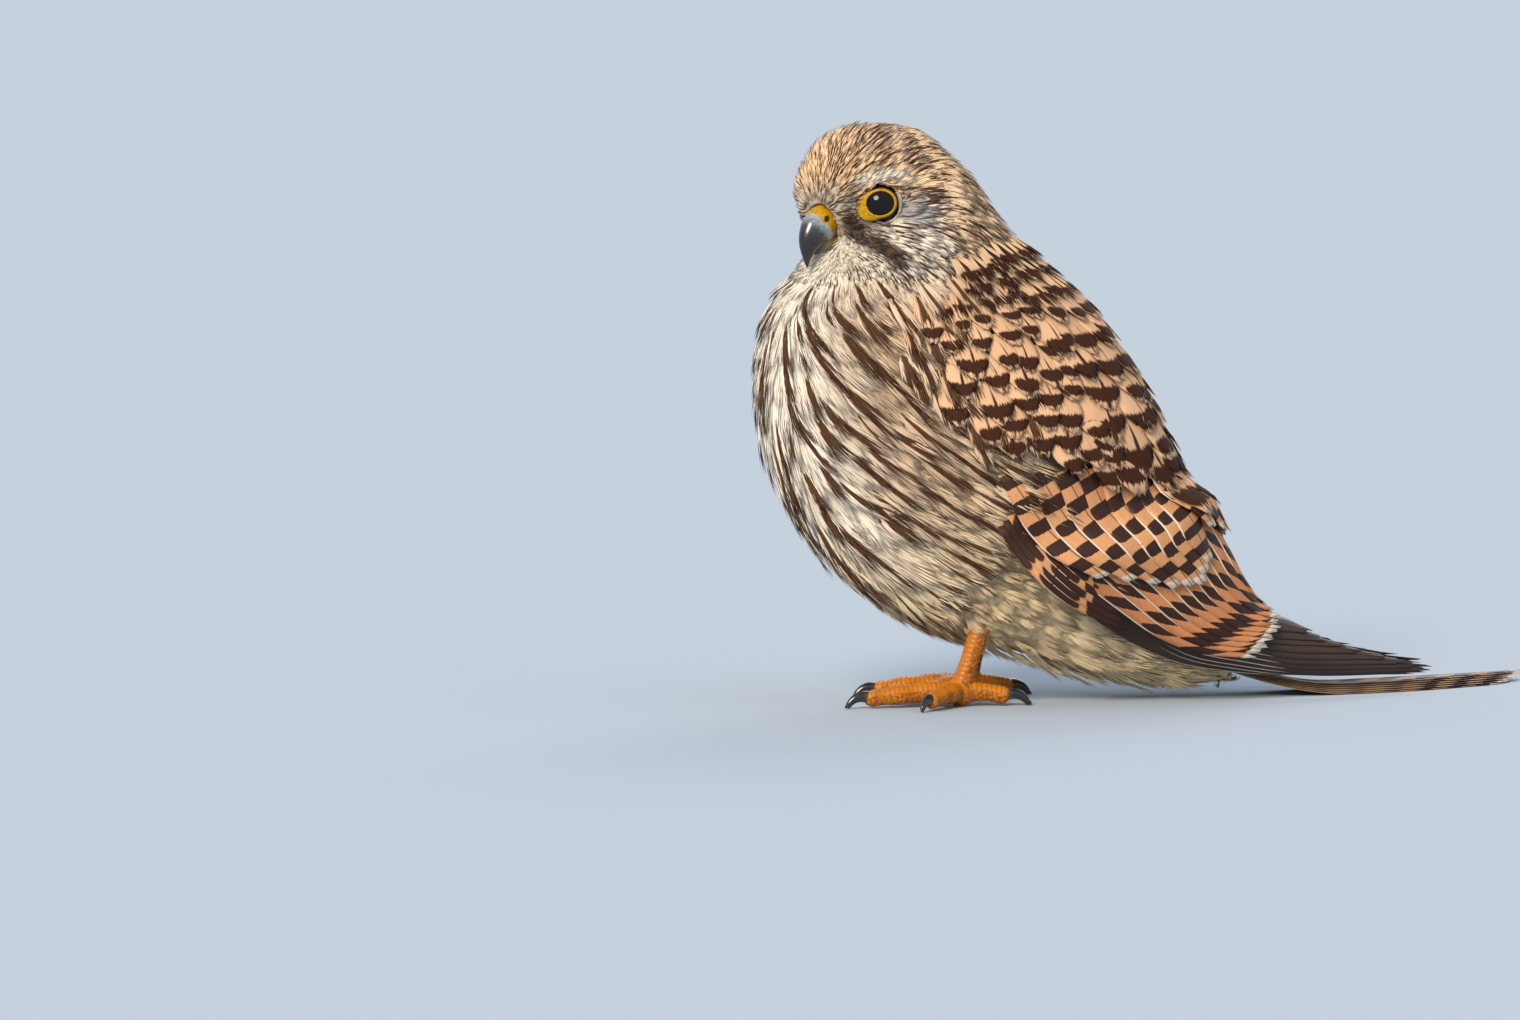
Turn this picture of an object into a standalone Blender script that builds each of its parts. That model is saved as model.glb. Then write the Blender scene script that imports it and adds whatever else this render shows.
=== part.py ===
"""A common kestrel, female, standing at rest: a still, life-size model.

Metres, +Z up. The bird faces -X, its left side is -Y, and it stands on z = 0 with the tail laid on the
same level. Sizes below are in millimetres, from an origin between the feet, and are turned to metres where
a mesh is made. At the end the whole bird is moved so that the origin is under its middle.
"""

import math

import bmesh
import bpy
import numpy as np
from mathutils import Matrix, Vector

MM = 0.001
GAP = 0.4

# Body sections from the crown of the neck to the end of the folded wings, seen from the side.
# Each row: breast side (x, z), back side (x, z), half width, and how far the torso lies in from the
# back line, where the folded wings cover it.
BODY_ROWS = (
    ((-31.0, 156.0), (-12.0, 174.0), 11.0, 0.0),
    ((-40.0, 149.0), (-3.0, 171.0), 17.0, 0.0),
    ((-46.0, 142.0), (6.5, 162.5), 20.0, 0.0),
    ((-53.0, 134.0), (13.0, 152.0), 24.0, 0.0),
    ((-60.5, 124.0), (25.5, 138.0), 29.5, 0.0),
    ((-64.0, 107.0), (41.5, 121.0), 35.0, 0.0),
    ((-63.5, 87.0), (54.0, 104.0), 38.0, 1.5),
    ((-57.0, 66.5), (63.0, 92.0), 39.5, 4.0),
    ((-45.5, 48.5), (69.5, 81.0), 38.5, 6.0),
    ((-30.5, 34.0), (75.5, 71.0), 36.0, 7.5),
    ((-12.0, 23.5), (81.5, 60.5), 32.0, 8.0),
    ((8.5, 16.0), (88.0, 49.5), 27.0, 8.0),
    ((31.0, 9.5), (94.0, 38.5), 22.5, 8.0),
    ((52.0, 4.5), (100.5, 30.5), 18.5, 7.5),
    ((74.0, 1.2), (109.0, 27.5), 16.0, 6.0),
    ((97.0, 1.2), (119.0, 22.5), 14.5, 5.0),
    ((120.0, 1.2), (134.0, 18.5), 13.0, 4.5),
    ((143.0, 1.2), (151.0, 15.0), 11.5, 4.0),
    ((165.0, 1.2), (170.0, 12.5), 10.0, 4.0),
    ((187.0, 1.2), (190.0, 11.0), 8.5, 4.0),
)
FIRST_ROW = -3
ROUNDNESS = 2.15
BODY_SIDES = 24
TORSO_END = 11.6
HEAD_CUT = 0.0
NECK_CUT = 1.0

# The tail and the wing tips are laid a little to the bird's right.
SWAY_START = 66.0
SWAY = 0.0018

# The tail's underside: it leaves the rump at a slope and flattens on to the ground.
TAIL_ROOT = (66.0, 22.5)
TAIL_SLOPE = math.radians(38.0)
TAIL_CURVE = 70.0
TAIL_LENGTH = 141.0
TAIL_PAIRS = 6
TAIL_LAYER = 0.9
VANE = 0.55

# The head: its centre, how far it is turned to the bird's left and tipped down.
HEAD_CENTRE = (-28.0, 0.0, 158.2)
HEAD_TURN = math.radians(27.0)
HEAD_DROP = math.radians(5.0)
# Head sections from the nape to the base of the bill: forward, half width, top, bottom.
HEAD_ROWS = (
    (-31.0, 5.0, 2.0, -8.0),
    (-28.0, 11.5, 9.5, -15.0),
    (-22.0, 16.5, 16.5, -19.5),
    (-13.0, 19.2, 21.0, -21.5),
    (-3.0, 19.6, 22.4, -20.5),
    (5.0, 18.4, 21.2, -18.8),
    (12.0, 16.0, 17.8, -16.8),
    (17.5, 13.0, 12.8, -15.0),
    (21.0, 9.2, 7.4, -12.8),
    (23.0, 5.0, 2.0, -9.5),
)
HEAD_SIDES = 24
EYE_CENTRE = (7.7, 12.5, -1.9)
EYE_RADIUS = 6.3
EYE_FORWARD = math.radians(38.0)
LID_RING = 5.0
LID_THICK = 0.85
# The brow over the eye: forward, aside and up of its line, in the head's frame, and its half thickness.
BROW_LINE = ((17.0, 10.6, 3.6), (12.5, 14.4, 5.0), (7.0, 16.8, 5.4), (1.0, 17.6, 4.2))
BROW_THICK = (0.6, 1.6, 1.8, 0.6)
# The flat of the face round the eye: a hollow of this radius that reaches in to this far from its middle.
DISH_RADIUS = 24.0
DISH_DEEP = 3.5

# The bill, in the head's frame: forward and up of each point of its middle line, and its half height.
UPPER_BILL = (
    (15.0, -6.2, 4.8), (19.5, -6.9, 5.4), (22.8, -8.3, 5.5), (24.9, -10.3, 4.8),
    (26.4, -12.5, 3.8), (27.3, -14.9, 2.6), (27.8, -17.4, 1.3), (27.9, -20.0, 0.25))
LOWER_BILL = (
    (13.5, -11.6, 2.4), (18.0, -12.6, 2.3), (21.0, -13.8, 1.9), (23.2, -15.1, 1.2), (24.6, -16.0, 0.5))
# The feathers of the face stand back from the bill by a hollow along this line, as the bill is.
FACE_ROOM = ((17.0, -7.0, 4.0), (20.0, -7.6, 6.2), (25.0, -9.2, 7.6), (32.0, -12.5, 9.5))
BILL_WIDE = 0.78
FACE_WIDE = 0.95
BILL_ROOM = 0.3
# The cere ends on a slanted plane through this point, forward and up, at this slope.
CERE_END = (25.0, -3.6)
CERE_SLOPE = math.radians(38.0)
NOSTRIL = (22.4, 3.7, -5.4)
NOSTRIL_RADIUS = 0.9

# The folded wing, in body sections and degrees up from the flank. Heights are mm off the torso.
SHINGLE = 0.85
UNDER_WING = 0.75
ARM = (1.3, 4.6)
ARM_DEEP = 5.0
SECONDARY_ROOT = (4.75, 5.2)
SECONDARIES = 7
SECONDARY_DEEP = 2.7
# The sections where the secondaries end, from the innermost out.
SECONDARY_ENDS = (8.2, 9.2, 9.9, 10.05, 9.6, 9.0, 8.4)
PRIMARY_ROOT = (6.9, 7.35)
PRIMARY_LAYER = 0.82
# How far short of the wing tip each primary ends, from the innermost out, in mm.
PRIMARY_SHORT = (58.0, 45.0, 31.0, 16.0, 4.0, 0.0, 7.0)
PRIMARY_TOP = UNDER_WING + len(PRIMARY_SHORT) * PRIMARY_LAYER + 0.5
PRIMARY_UPPER = 44.0
WING_TIP_ROW = {-1: 14.6, 1: 15.0}

# The left foot is a little in front of the right. The hock is where the bare shank ends in feathers.
LEG = {
    -1: dict(word="left", foot=(-3.0, -15.0), hock=(6.0, -17.5, 34.0)),
    1: dict(word="right", foot=(8.5, 15.0), hock=(16.5, 17.5, 31.0)),
}
# Toe: name, way it points from straight ahead towards the outside, length, and thickness.
TOES = (
    ("inner", -32.0, 19.0, 3.0),
    ("middle", 2.0, 29.5, 3.1),
    ("outer", 48.0, 21.0, 2.9),
    ("hind", 172.0, 14.0, 3.0),
)
CLAW_LENGTH = {"inner": 10.5, "middle": 10.0, "outer": 8.5, "hind": 11.0}
CLAW_GAP = 0.75

COLOURS = {
    "torso": ((0.70, 0.60, 0.45), 0.85),
    "mantle": ((0.66, 0.40, 0.22), 0.8),
    "flight": ((0.09, 0.065, 0.05), 0.6),
    "barred": ((0.62, 0.33, 0.16), 0.7),
    "tail": ((0.45, 0.28, 0.16), 0.7),
    "crown": ((0.60, 0.44, 0.29), 0.85),
    "bill": ((0.17, 0.19, 0.22), 0.3),
    "cere": ((0.85, 0.62, 0.05), 0.45),
    "eye": ((0.02, 0.012, 0.008), 0.05),
    "leg": ((0.80, 0.42, 0.04), 0.5),
    "claw": ((0.02, 0.02, 0.022), 0.25),
}


def blend(low, high, x):
    """0 below low, 1 above high, smooth between."""
    t = min(1.0, max(0.0, (x - low) / (high - low)))
    return t * t * (3.0 - 2.0 * t)


def through(values, x):
    """The smooth curve through evenly spaced values, at place x."""
    last = len(values) - 1
    i = min(last - 1, max(0, int(math.floor(x))))
    t = x - i
    a, b, c, d = (np.asarray(values[min(last, max(0, j))], float) for j in (i - 1, i, i + 1, i + 2))
    return b + 0.5 * t * (c - a + t * (2 * a - 5 * b + 4 * c - d + t * (3 * (b - c) + d - a)))


def sway(point):
    """The point moved sideways as the laid tail and wing tips are."""
    past = max(0.0, point[0] - SWAY_START)
    return np.array((point[0], point[1] + SWAY * past * past, point[2]))


BODY_VALUES = [(*front, *back, side, inset) for front, back, side, inset in BODY_ROWS]


def body_point(u, degrees, off=0.0, side=-1):
    """A point off mm outside the body section u, at an angle up from the flank towards the back."""
    fx, fz, bx, bz, half, inset = through(BODY_VALUES, u - FIRST_ROW)
    front, back = np.array((fx, 0.0, fz)), np.array((bx, 0.0, bz))
    dorsal = (back - front) / np.linalg.norm(back - front)
    back = back - dorsal * inset
    middle, deep = (front + back) / 2, np.linalg.norm(back - front) / 2
    c, s = math.cos(math.radians(degrees)), math.sin(math.radians(degrees))
    power = 2.0 / ROUNDNESS
    across = math.copysign(abs(c) ** power, c) * (half + off)
    up = math.copysign(abs(s) ** power, s) * (deep + off)
    return sway(middle + np.array((0.0, side * across, 0.0)) + dorsal * up)


def tail_point(s, across, height):
    """A point of the tail, s mm from the rump, across its middle and height above its underside."""
    if s < 0:
        x, z, slope = s * math.cos(TAIL_SLOPE), -s * math.sin(TAIL_SLOPE), TAIL_SLOPE
    else:
        t = min(s, TAIL_CURVE)
        slope = TAIL_SLOPE * (1 - t / TAIL_CURVE)
        turn = TAIL_CURVE / TAIL_SLOPE
        x = turn * (math.sin(TAIL_SLOPE) - math.sin(slope)) + (s - t)
        z = -turn * (math.cos(slope) - math.cos(TAIL_SLOPE))
    floor = TAIL_CURVE / TAIL_SLOPE * (1 - math.cos(TAIL_SLOPE))
    base = np.array((TAIL_ROOT[0] + x, across, floor + z))
    return sway(base + height * np.array((math.sin(slope), 0.0, math.cos(slope))))


def material(kind):
    """The Principled material of that kind, made once."""
    if kind in bpy.data.materials:
        return bpy.data.materials[kind]
    made = bpy.data.materials.new(kind)
    made.use_nodes = True
    shader = made.node_tree.nodes["Principled BSDF"]
    colour, rough = COLOURS[kind]
    shader.inputs["Base Color"].default_value = (*colour, 1.0)
    shader.inputs["Roughness"].default_value = rough
    return made


def add_object(name, points, faces, kind=None):
    """A mesh object from points in mm and faces, in the bird's collection."""
    mesh = bpy.data.meshes.new(name)
    mesh.from_pydata([[c * MM for c in p] for p in points], [], faces)
    obj = bpy.data.objects.new(name, mesh)
    bpy.data.collections["kestrel"].objects.link(obj)
    if kind:
        mesh.materials.append(material(kind))
    return obj


def outward(obj):
    """Turns the faces of a closed mesh to point out."""
    bm = bmesh.new()
    bm.from_mesh(obj.data)
    bmesh.ops.recalc_face_normals(bm, faces=bm.faces)
    bm.to_mesh(obj.data)
    bm.free()
    return obj


def loft(name, rings, kind=None):
    """A closed body through rings of equal counts, closed by a point at each end."""
    count = len(rings[0])
    points = [p for ring in rings for p in ring]
    faces = []
    for r in range(len(rings) - 1):
        for i in range(count):
            j = (i + 1) % count
            a, b = r * count, (r + 1) * count
            faces += [(a + i, a + j, b + j), (a + i, b + j, b + i)]
    for ring, start in ((rings[0], 0), (rings[-1], (len(rings) - 1) * count)):
        points.append(np.mean(ring, axis=0))
        faces += [(start + i, start + (i + 1) % count, len(points) - 1) for i in range(count)]
    return outward(add_object(name, points, faces, kind))


def slab(name, top, bottom, kind=None):
    """A closed plate between two grids of points, split into triangles alike on both faces."""
    rows, columns = len(top), len(top[0])
    points = [p for row in top for p in row] + [p for row in bottom for p in row]
    under = rows * columns
    faces = []
    for r in range(rows - 1):
        for c in range(columns - 1):
            a, b = r * columns + c, r * columns + c + 1
            d, e = a + columns, b + columns
            faces += [(a, b, e), (a, e, d)]
            faces += [(under + a, under + e, under + b), (under + a, under + d, under + e)]
    rim = [(0, c) for c in range(columns)] + [(r, columns - 1) for r in range(1, rows)]
    rim += [(rows - 1, c) for c in range(columns - 2, -1, -1)] + [(r, 0) for r in range(rows - 2, 0, -1)]
    edge = [r * columns + c for r, c in rim]
    for a, b in zip(edge, edge[1:] + edge[:1]):
        faces += [(a, under + b, b), (a, under + a, under + b)]
    return outward(add_object(name, points, faces, kind))


def horn(name, path, radii, sides=2, squeeze=1.0, kind=None):
    """A curved tapering tube, such as a toe or a claw, as a curve's mesh with welded caps."""
    curve = bpy.data.curves.new(name, "CURVE")
    curve.dimensions = "3D"
    curve.bevel_depth = MM
    curve.bevel_resolution = sides
    curve.use_fill_caps = True
    spline = curve.splines.new("POLY")
    spline.points.add(len(path) - 1)
    for point, place, radius in zip(spline.points, path, radii):
        point.co = (place[0] * MM, place[1] * MM / squeeze, place[2] * MM, 1.0)
        point.radius = radius
    drawn = bpy.data.objects.new(name + "_line", curve)
    bpy.data.collections["kestrel"].objects.link(drawn)
    graph = bpy.context.evaluated_depsgraph_get()
    mesh = bpy.data.meshes.new_from_object(drawn.evaluated_get(graph))
    bpy.data.objects.remove(drawn)
    bpy.data.curves.remove(curve)
    bm = bmesh.new()
    bm.from_mesh(mesh)
    bmesh.ops.scale(bm, verts=bm.verts, vec=(1.0, squeeze, 1.0))
    bmesh.ops.remove_doubles(bm, verts=bm.verts, dist=MM * 0.01)
    bmesh.ops.triangulate(bm, faces=bm.faces)
    bmesh.ops.recalc_face_normals(bm, faces=bm.faces)
    bm.to_mesh(mesh)
    bm.free()
    mesh.name = name
    obj = bpy.data.objects.new(name, mesh)
    bpy.data.collections["kestrel"].objects.link(obj)
    if kind:
        mesh.materials.clear()
        mesh.materials.append(material(kind))
    return obj


def ball(name, centre, radius, segments=16, rings=10, kind=None):
    """A sphere of radius mm about centre."""
    mesh = bpy.data.meshes.new(name)
    bm = bmesh.new()
    bmesh.ops.create_uvsphere(bm, u_segments=segments, v_segments=rings, radius=radius * MM)
    bmesh.ops.translate(bm, verts=bm.verts, vec=Vector(centre) * MM)
    bmesh.ops.triangulate(bm, faces=bm.faces)
    bm.to_mesh(mesh)
    bm.free()
    obj = bpy.data.objects.new(name, mesh)
    bpy.data.collections["kestrel"].objects.link(obj)
    if kind:
        mesh.materials.append(material(kind))
    return obj


def keep_largest(obj):
    """Leaves only the largest closed surface of a mesh."""
    bm = bmesh.new()
    bm.from_mesh(obj.data)
    bmesh.ops.triangulate(bm, faces=bm.faces)
    left, islands = set(bm.faces), []
    while left:
        stack, island = [left.pop()], []
        while stack:
            face = stack.pop()
            island.append(face)
            for edge in face.edges:
                for other in edge.link_faces:
                    if other in left:
                        left.remove(other)
                        stack.append(other)
        islands.append(island)

    def volume(island):
        corners = ([v.co for v in face.verts] for face in island)
        return sum(a.dot(b.cross(c)) for a, b, c in corners)

    islands.sort(key=volume)
    scraps = [face for island in islands[:-1] for face in island]
    bmesh.ops.delete(bm, geom=scraps, context="FACES")
    bm.to_mesh(obj.data)
    bm.free()
    return obj


def combine(obj, others, operation, solver="MANIFOLD"):
    """Joins the others to obj, or cuts them from it, and removes them."""
    tools = bpy.data.collections.new("tools")
    bpy.context.scene.collection.children.link(tools)
    for other in others:
        bpy.data.collections["kestrel"].objects.unlink(other)
        tools.objects.link(other)
    boolean = obj.modifiers.new("combine", "BOOLEAN")
    boolean.operation = operation
    boolean.solver = solver
    boolean.operand_type = "COLLECTION"
    boolean.collection = tools
    graph = bpy.context.evaluated_depsgraph_get()
    mesh = bpy.data.meshes.new_from_object(obj.evaluated_get(graph))
    obj.modifiers.clear()
    obj.data = mesh
    for other in others:
        bpy.data.objects.remove(other)
    bpy.data.collections.remove(tools)
    kept = obj.data.materials[0] if obj.data.materials else None
    obj.data.materials.clear()
    if kept:
        obj.data.materials.append(kept)
        obj.data.polygons.foreach_set("material_index", [0] * len(obj.data.polygons))
    return keep_largest(obj)


def copy_of(obj, name):
    """A copy of an object with its own mesh."""
    made = bpy.data.objects.new(name, obj.data.copy())
    bpy.data.collections["kestrel"].objects.link(made)
    return made


def body_ring(u, off=0.0, size=1.0):
    """The ring of points round the body at section u, drawn in towards its middle by size."""
    step = 360.0 / BODY_SIDES
    ring = [body_point(u, step * i, off) for i in range(BODY_SIDES)]
    middle = np.mean(ring, axis=0)
    return [middle + (p - middle) * size for p in ring]


def body_form(off=0.0):
    """The torso with the neck up into the head, as one body."""
    places = list(np.arange(FIRST_ROW, TORSO_END - 1.0, 0.5))
    rings = [body_ring(u, off) for u in places]
    ends = ((TORSO_END - 0.6, 0.93), (TORSO_END - 0.25, 0.74), (TORSO_END, 0.42), (TORSO_END + 0.12, 0.12))
    rings += [body_ring(u, off, size) for u, size in ends]
    return loft("body", rings, "torso")


def half_space(u, upper):
    """A big box on one side of the cut across the body at section u, half a gap away from it."""
    left, back = body_point(u, 0.0, side=-1), body_point(u, 90.0)
    front, right = body_point(u, -90.0), body_point(u, 0.0, side=1)
    middle = (left + right + front + back) / 4
    across = Vector((0.0, 1.0, 0.0))
    dorsal = Vector(back - front).normalized()
    along = dorsal.cross(across).normalized()
    if along.z < 0:
        along = -along
    size = 200.0
    way = 1.0 if upper else -1.0
    centre = Vector(middle) + along * way * (size / 2 + GAP / 2)
    frame = Matrix((dorsal, across, along)).transposed().to_4x4()
    mesh = bpy.data.meshes.new("half")
    bm = bmesh.new()
    bmesh.ops.create_cube(bm, size=size * MM)
    bmesh.ops.transform(bm, matrix=Matrix.Translation(centre * MM) @ frame, verts=bm.verts)
    bmesh.ops.recalc_face_normals(bm, faces=bm.faces)
    bm.to_mesh(mesh)
    bm.free()
    obj = bpy.data.objects.new("half", mesh)
    bpy.data.collections["kestrel"].objects.link(obj)
    return obj


def head_frame():
    """The matrix from the head's own forward, left and up, in mm, to the bird's frame."""
    forward = Vector((-math.cos(HEAD_TURN), -math.sin(HEAD_TURN), 0.0))
    left = Vector((math.sin(HEAD_TURN), -math.cos(HEAD_TURN), 0.0))
    dropped = forward * math.cos(HEAD_DROP) - Vector((0, 0, 1)) * math.sin(HEAD_DROP)
    up = dropped.cross(left)
    frame = Matrix((dropped, left, up)).transposed().to_4x4()
    return Matrix.Translation(Vector(HEAD_CENTRE)) @ frame


HEAD = head_frame()


def on_head(forward, left, up):
    """A point of the head's own frame in the bird's frame, in mm."""
    return np.array(HEAD @ Vector((forward, left, up)))


def head_ring(forward, half, top, bottom):
    """The ring of points round one head section."""
    ring = []
    power = 2.0 / 2.2
    for i in range(HEAD_SIDES):
        angle = 2 * math.pi * i / HEAD_SIDES
        c, s = math.cos(angle), math.sin(angle)
        middle, tall = (top + bottom) / 2, (top - bottom) / 2
        across = math.copysign(abs(c) ** power, c) * half
        ring.append(on_head(forward, across, middle + math.copysign(abs(s) ** power, s) * tall))
    return ring


def eye_place(side):
    """The centre of an eye and the way it looks, in the head's frame."""
    centre = Vector((EYE_CENTRE[0], side * EYE_CENTRE[1], EYE_CENTRE[2]))
    look = Vector((math.sin(EYE_FORWARD), side * math.cos(EYE_FORWARD), 0.05)).normalized()
    return centre, look


def lid_ring(side):
    """The bare ring of skin round the eye, drawn out towards the bill."""
    centre, look = eye_place(side)
    up = (Vector((0, 0, 1)) - look * look.z).normalized()
    across = look.cross(up)
    depth = math.sqrt(EYE_RADIUS**2 - LID_RING**2)
    path = []
    count = 12
    for i in range(count):
        angle = 2 * math.pi * i / count
        reach = LID_RING * (1 + 0.16 * max(0.0, math.cos(angle)) ** 3)
        to_bill = across if across.x > 0 else -across
        place = centre + look * depth + to_bill * reach * math.cos(angle) + up * reach * math.sin(angle)
        path.append(on_head(*place))
    return path


def ring_tube(name, path, radius):
    """A closed ring of tube through the path."""
    curve = bpy.data.curves.new(name, "CURVE")
    curve.dimensions = "3D"
    curve.bevel_depth = radius * MM
    curve.bevel_resolution = 1
    spline = curve.splines.new("POLY")
    spline.points.add(len(path) - 1)
    for point, place in zip(spline.points, path):
        point.co = (*(c * MM for c in place), 1.0)
    spline.use_cyclic_u = True
    drawn = bpy.data.objects.new(name + "_line", curve)
    bpy.data.collections["kestrel"].objects.link(drawn)
    graph = bpy.context.evaluated_depsgraph_get()
    mesh = bpy.data.meshes.new_from_object(drawn.evaluated_get(graph))
    bpy.data.objects.remove(drawn)
    obj = bpy.data.objects.new(name, mesh)
    bpy.data.collections["kestrel"].objects.link(obj)
    bm = bmesh.new()
    bm.from_mesh(mesh)
    bmesh.ops.remove_doubles(bm, verts=bm.verts, dist=MM * 0.01)
    bmesh.ops.triangulate(bm, faces=bm.faces)
    bm.to_mesh(mesh)
    bm.free()
    return outward(obj)


def bill_piece(name, rows, kind=None, wide=BILL_WIDE):
    """One half of the bill as a tapering horn in the head's frame."""
    path = [(f, 0.0, k) for f, k, _ in rows]
    piece = horn(name, path, [r for _, _, r in rows], sides=3, squeeze=wide, kind=kind)
    to_bird = Matrix.Scale(MM, 4) @ HEAD @ Matrix.Scale(1 / MM, 4)
    piece.data.transform(to_bird)
    return outward(piece)


def swelled(rows):
    """A bill's rows with room round them."""
    return [(f, k, r + BILL_ROOM) for f, k, r in rows]


def cere_side(name, ahead):
    """A big block ahead of the cere's edge, or behind it, and half a gap past it."""
    size = 80.0
    mesh = bpy.data.meshes.new(name)
    bm = bmesh.new()
    bmesh.ops.create_cube(bm, size=size)
    way = 1.0 if ahead else -1.0
    place = Matrix.Translation(Vector((CERE_END[0], 0.0, CERE_END[1])))
    place = place @ Matrix.Rotation(CERE_SLOPE, 4, "Y")
    place = place @ Matrix.Translation(Vector((way * (size / 2 - GAP / 2), 0.0, 0.0)))
    bmesh.ops.transform(bm, matrix=Matrix.Scale(MM, 4) @ HEAD @ place, verts=bm.verts)
    bmesh.ops.recalc_face_normals(bm, faces=bm.faces)
    bm.to_mesh(mesh)
    bm.free()
    obj = bpy.data.objects.new(name, mesh)
    bpy.data.collections["kestrel"].objects.link(obj)
    return obj


def make_head_and_body():
    """The head, neck and torso, modelled whole and parted with thin cuts, with the bill and the eyes."""
    whole = body_form()
    rings = [head_ring(*through(HEAD_ROWS, x)) for x in np.arange(0, len(HEAD_ROWS) - 0.99, 0.6)]
    brows, lids, dishes, sockets = [loft("skull", rings)], [], [], []
    for side in (-1, 1):
        centre, look = eye_place(side)
        brow = [on_head(f, side * l, k) for f, l, k in BROW_LINE]
        brows.append(horn("brow", brow, BROW_THICK, sides=1))
        lids.append(ring_tube("lid", lid_ring(side), LID_THICK))
        dish = centre + look * (DISH_DEEP + DISH_RADIUS)
        dishes.append(ball("dish", on_head(*dish), DISH_RADIUS, 16, 10))
        sockets.append(ball("socket", on_head(*centre), EYE_RADIUS + GAP, 16, 10))
    dishes.append(bill_piece("face_room", FACE_ROOM, wide=FACE_WIDE))
    sockets.append(bill_piece("bill_room", swelled(UPPER_BILL)))
    sockets.append(bill_piece("chin_room", swelled(LOWER_BILL)))
    combine(whole, brows, "UNION")
    combine(whole, dishes, "DIFFERENCE")
    combine(whole, lids, "UNION")
    combine(whole, sockets, "DIFFERENCE")

    torso = copy_of(whole, "torso")
    neck = copy_of(whole, "neck")
    whole.name = "head"
    whole.data.materials.clear()
    whole.data.materials.append(material("crown"))
    combine(whole, [half_space(HEAD_CUT, True)], "INTERSECT")
    combine(neck, [half_space(HEAD_CUT, False)], "INTERSECT")
    combine(neck, [half_space(NECK_CUT, True)], "INTERSECT")
    combine(torso, [half_space(NECK_CUT, False)], "INTERSECT")

    upper = bill_piece("bill_upper", UPPER_BILL, "bill")
    lower = bill_piece("bill_lower", LOWER_BILL, "bill")
    combine(lower, [bill_piece("upper_room", swelled(UPPER_BILL))], "DIFFERENCE")
    cere = copy_of(upper, "cere")
    cere.data.materials.clear()
    cere.data.materials.append(material("cere"))
    combine(upper, [cere_side("behind", False)], "DIFFERENCE")
    combine(cere, [cere_side("ahead", True)], "DIFFERENCE")
    nostrils = []
    for side in (-1, 1):
        place = on_head(NOSTRIL[0], side * NOSTRIL[1], NOSTRIL[2])
        nostrils.append(ball("nostril", place, NOSTRIL_RADIUS, 8, 6))
    combine(cere, nostrils, "DIFFERENCE")
    for side, word in ((-1, "right"), (1, "left")):
        centre, _ = eye_place(side)
        ball("eye_" + word, on_head(*centre), EYE_RADIUS, 16, 9, "eye")
    return torso


def vane(name, place, half_width, thick=VANE, rows=4, root_share=0.6, point=0.3):
    """A flat feather: place(a, b, lift) gives the point a along it, 0 to 1, and b mm across its middle."""
    top, bottom = [], []
    for i in range(rows + 1):
        a = i / rows
        width = half_width * (root_share + (1 - root_share) * blend(0.0, 0.45, a))
        width *= math.sqrt(max(0.0, 1 - blend(0.6, 1.0, a) * (1 - point**2)))
        lift = 0.5 * thick * (0.6 if a == 1.0 else 1.0)
        top.append([place(a, b * width, lift) for b in (-1.0, 0.0, 1.0)])
        bottom.append([place(a, b * width, -lift) for b in (-1.0, 0.0, 1.0)])
    return slab(name, top, bottom)


def to_degrees(u, degrees, side, mm):
    """How many degrees round the body mm across is, at that place."""
    step = 1.0
    a, b = body_point(u, degrees - step, 3.0, side), body_point(u, degrees + step, 3.0, side)
    return mm * 2 * step / np.linalg.norm(b - a)


def to_rows(u, side, mm):
    """How many body rows mm along the flank is, at section u."""
    step = 0.05
    a, b = body_point(u - step, 20.0, 3.0, side), body_point(u + step, 20.0, 3.0, side)
    return mm * 2 * step / np.linalg.norm(b - a)


def fan(side, count, first, last, span, half, under, rows=4, point=0.3):
    """One tier of overlapping feathers, each a step lower than the one nearer the back.

    first(u) and last(u) are the angles of the outermost middles at section u, span(share) gives the
    sections where a feather starts and ends, and under(u, degrees) is the height of what it lies on.
    """
    feathers = []
    for i in range(count):
        share = i / (count - 1)
        start, end = span(share)

        def place(a, b, lift, share=share, start=start, end=end):
            u = start + (end - start) * a
            between = (first(u) - last(u)) / (count - 1)
            middle = first(u) + (last(u) - first(u)) * share
            off = to_degrees(u, middle, side, b)
            slope = SHINGLE / between
            edge = slope * to_degrees(u, middle, side, half)
            rest = GAP + VANE / 2 + edge + under(u, middle + off)
            return body_point(u, middle + off, rest - slope * off + lift, side)

        feathers.append(vane("vane", place, half, rows=rows, point=point))
    return feathers


def wing_patch(name, side, us, angles, inner, outer, kind):
    """A closed shell of wing between two heights over the body, from section to section."""
    low = [[body_point(u, d, inner(u, d), side) for d in angles(u)] for u in us]
    high = [[body_point(u, d, outer(u, d), side) for d in angles(u)] for u in us]
    return slab(name, high, low, kind)


def spaced(first, last, count):
    """Evenly spaced values from first to last."""
    return [first + (last - first) * i / (count - 1) for i in range(count)]


def primaries_top(u, degrees):
    """The height that the folded primaries take up."""
    return PRIMARY_TOP * blend(5.6, PRIMARY_ROOT[0] - 0.1, u) * (1.0 - blend(62.0, 82.0, degrees))


def secondaries_top(u, degrees):
    """The height that secondaries and primaries take up together."""
    return primaries_top(u, degrees) + SECONDARY_DEEP * blend(4.3, SECONDARY_ROOT[0], u)


def arm_height(u, degrees):
    """How far the fleshy fore-wing stands off the body: thin at its edges and along the back."""
    length = blend(ARM[0] - 0.2, 3.6, u)
    round_it = blend(-16.0, 14.0, degrees) * (1.0 - 0.55 * blend(40.0, 84.0, degrees))
    return 1.2 + (ARM_DEEP - 1.2) * length * round_it


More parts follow.
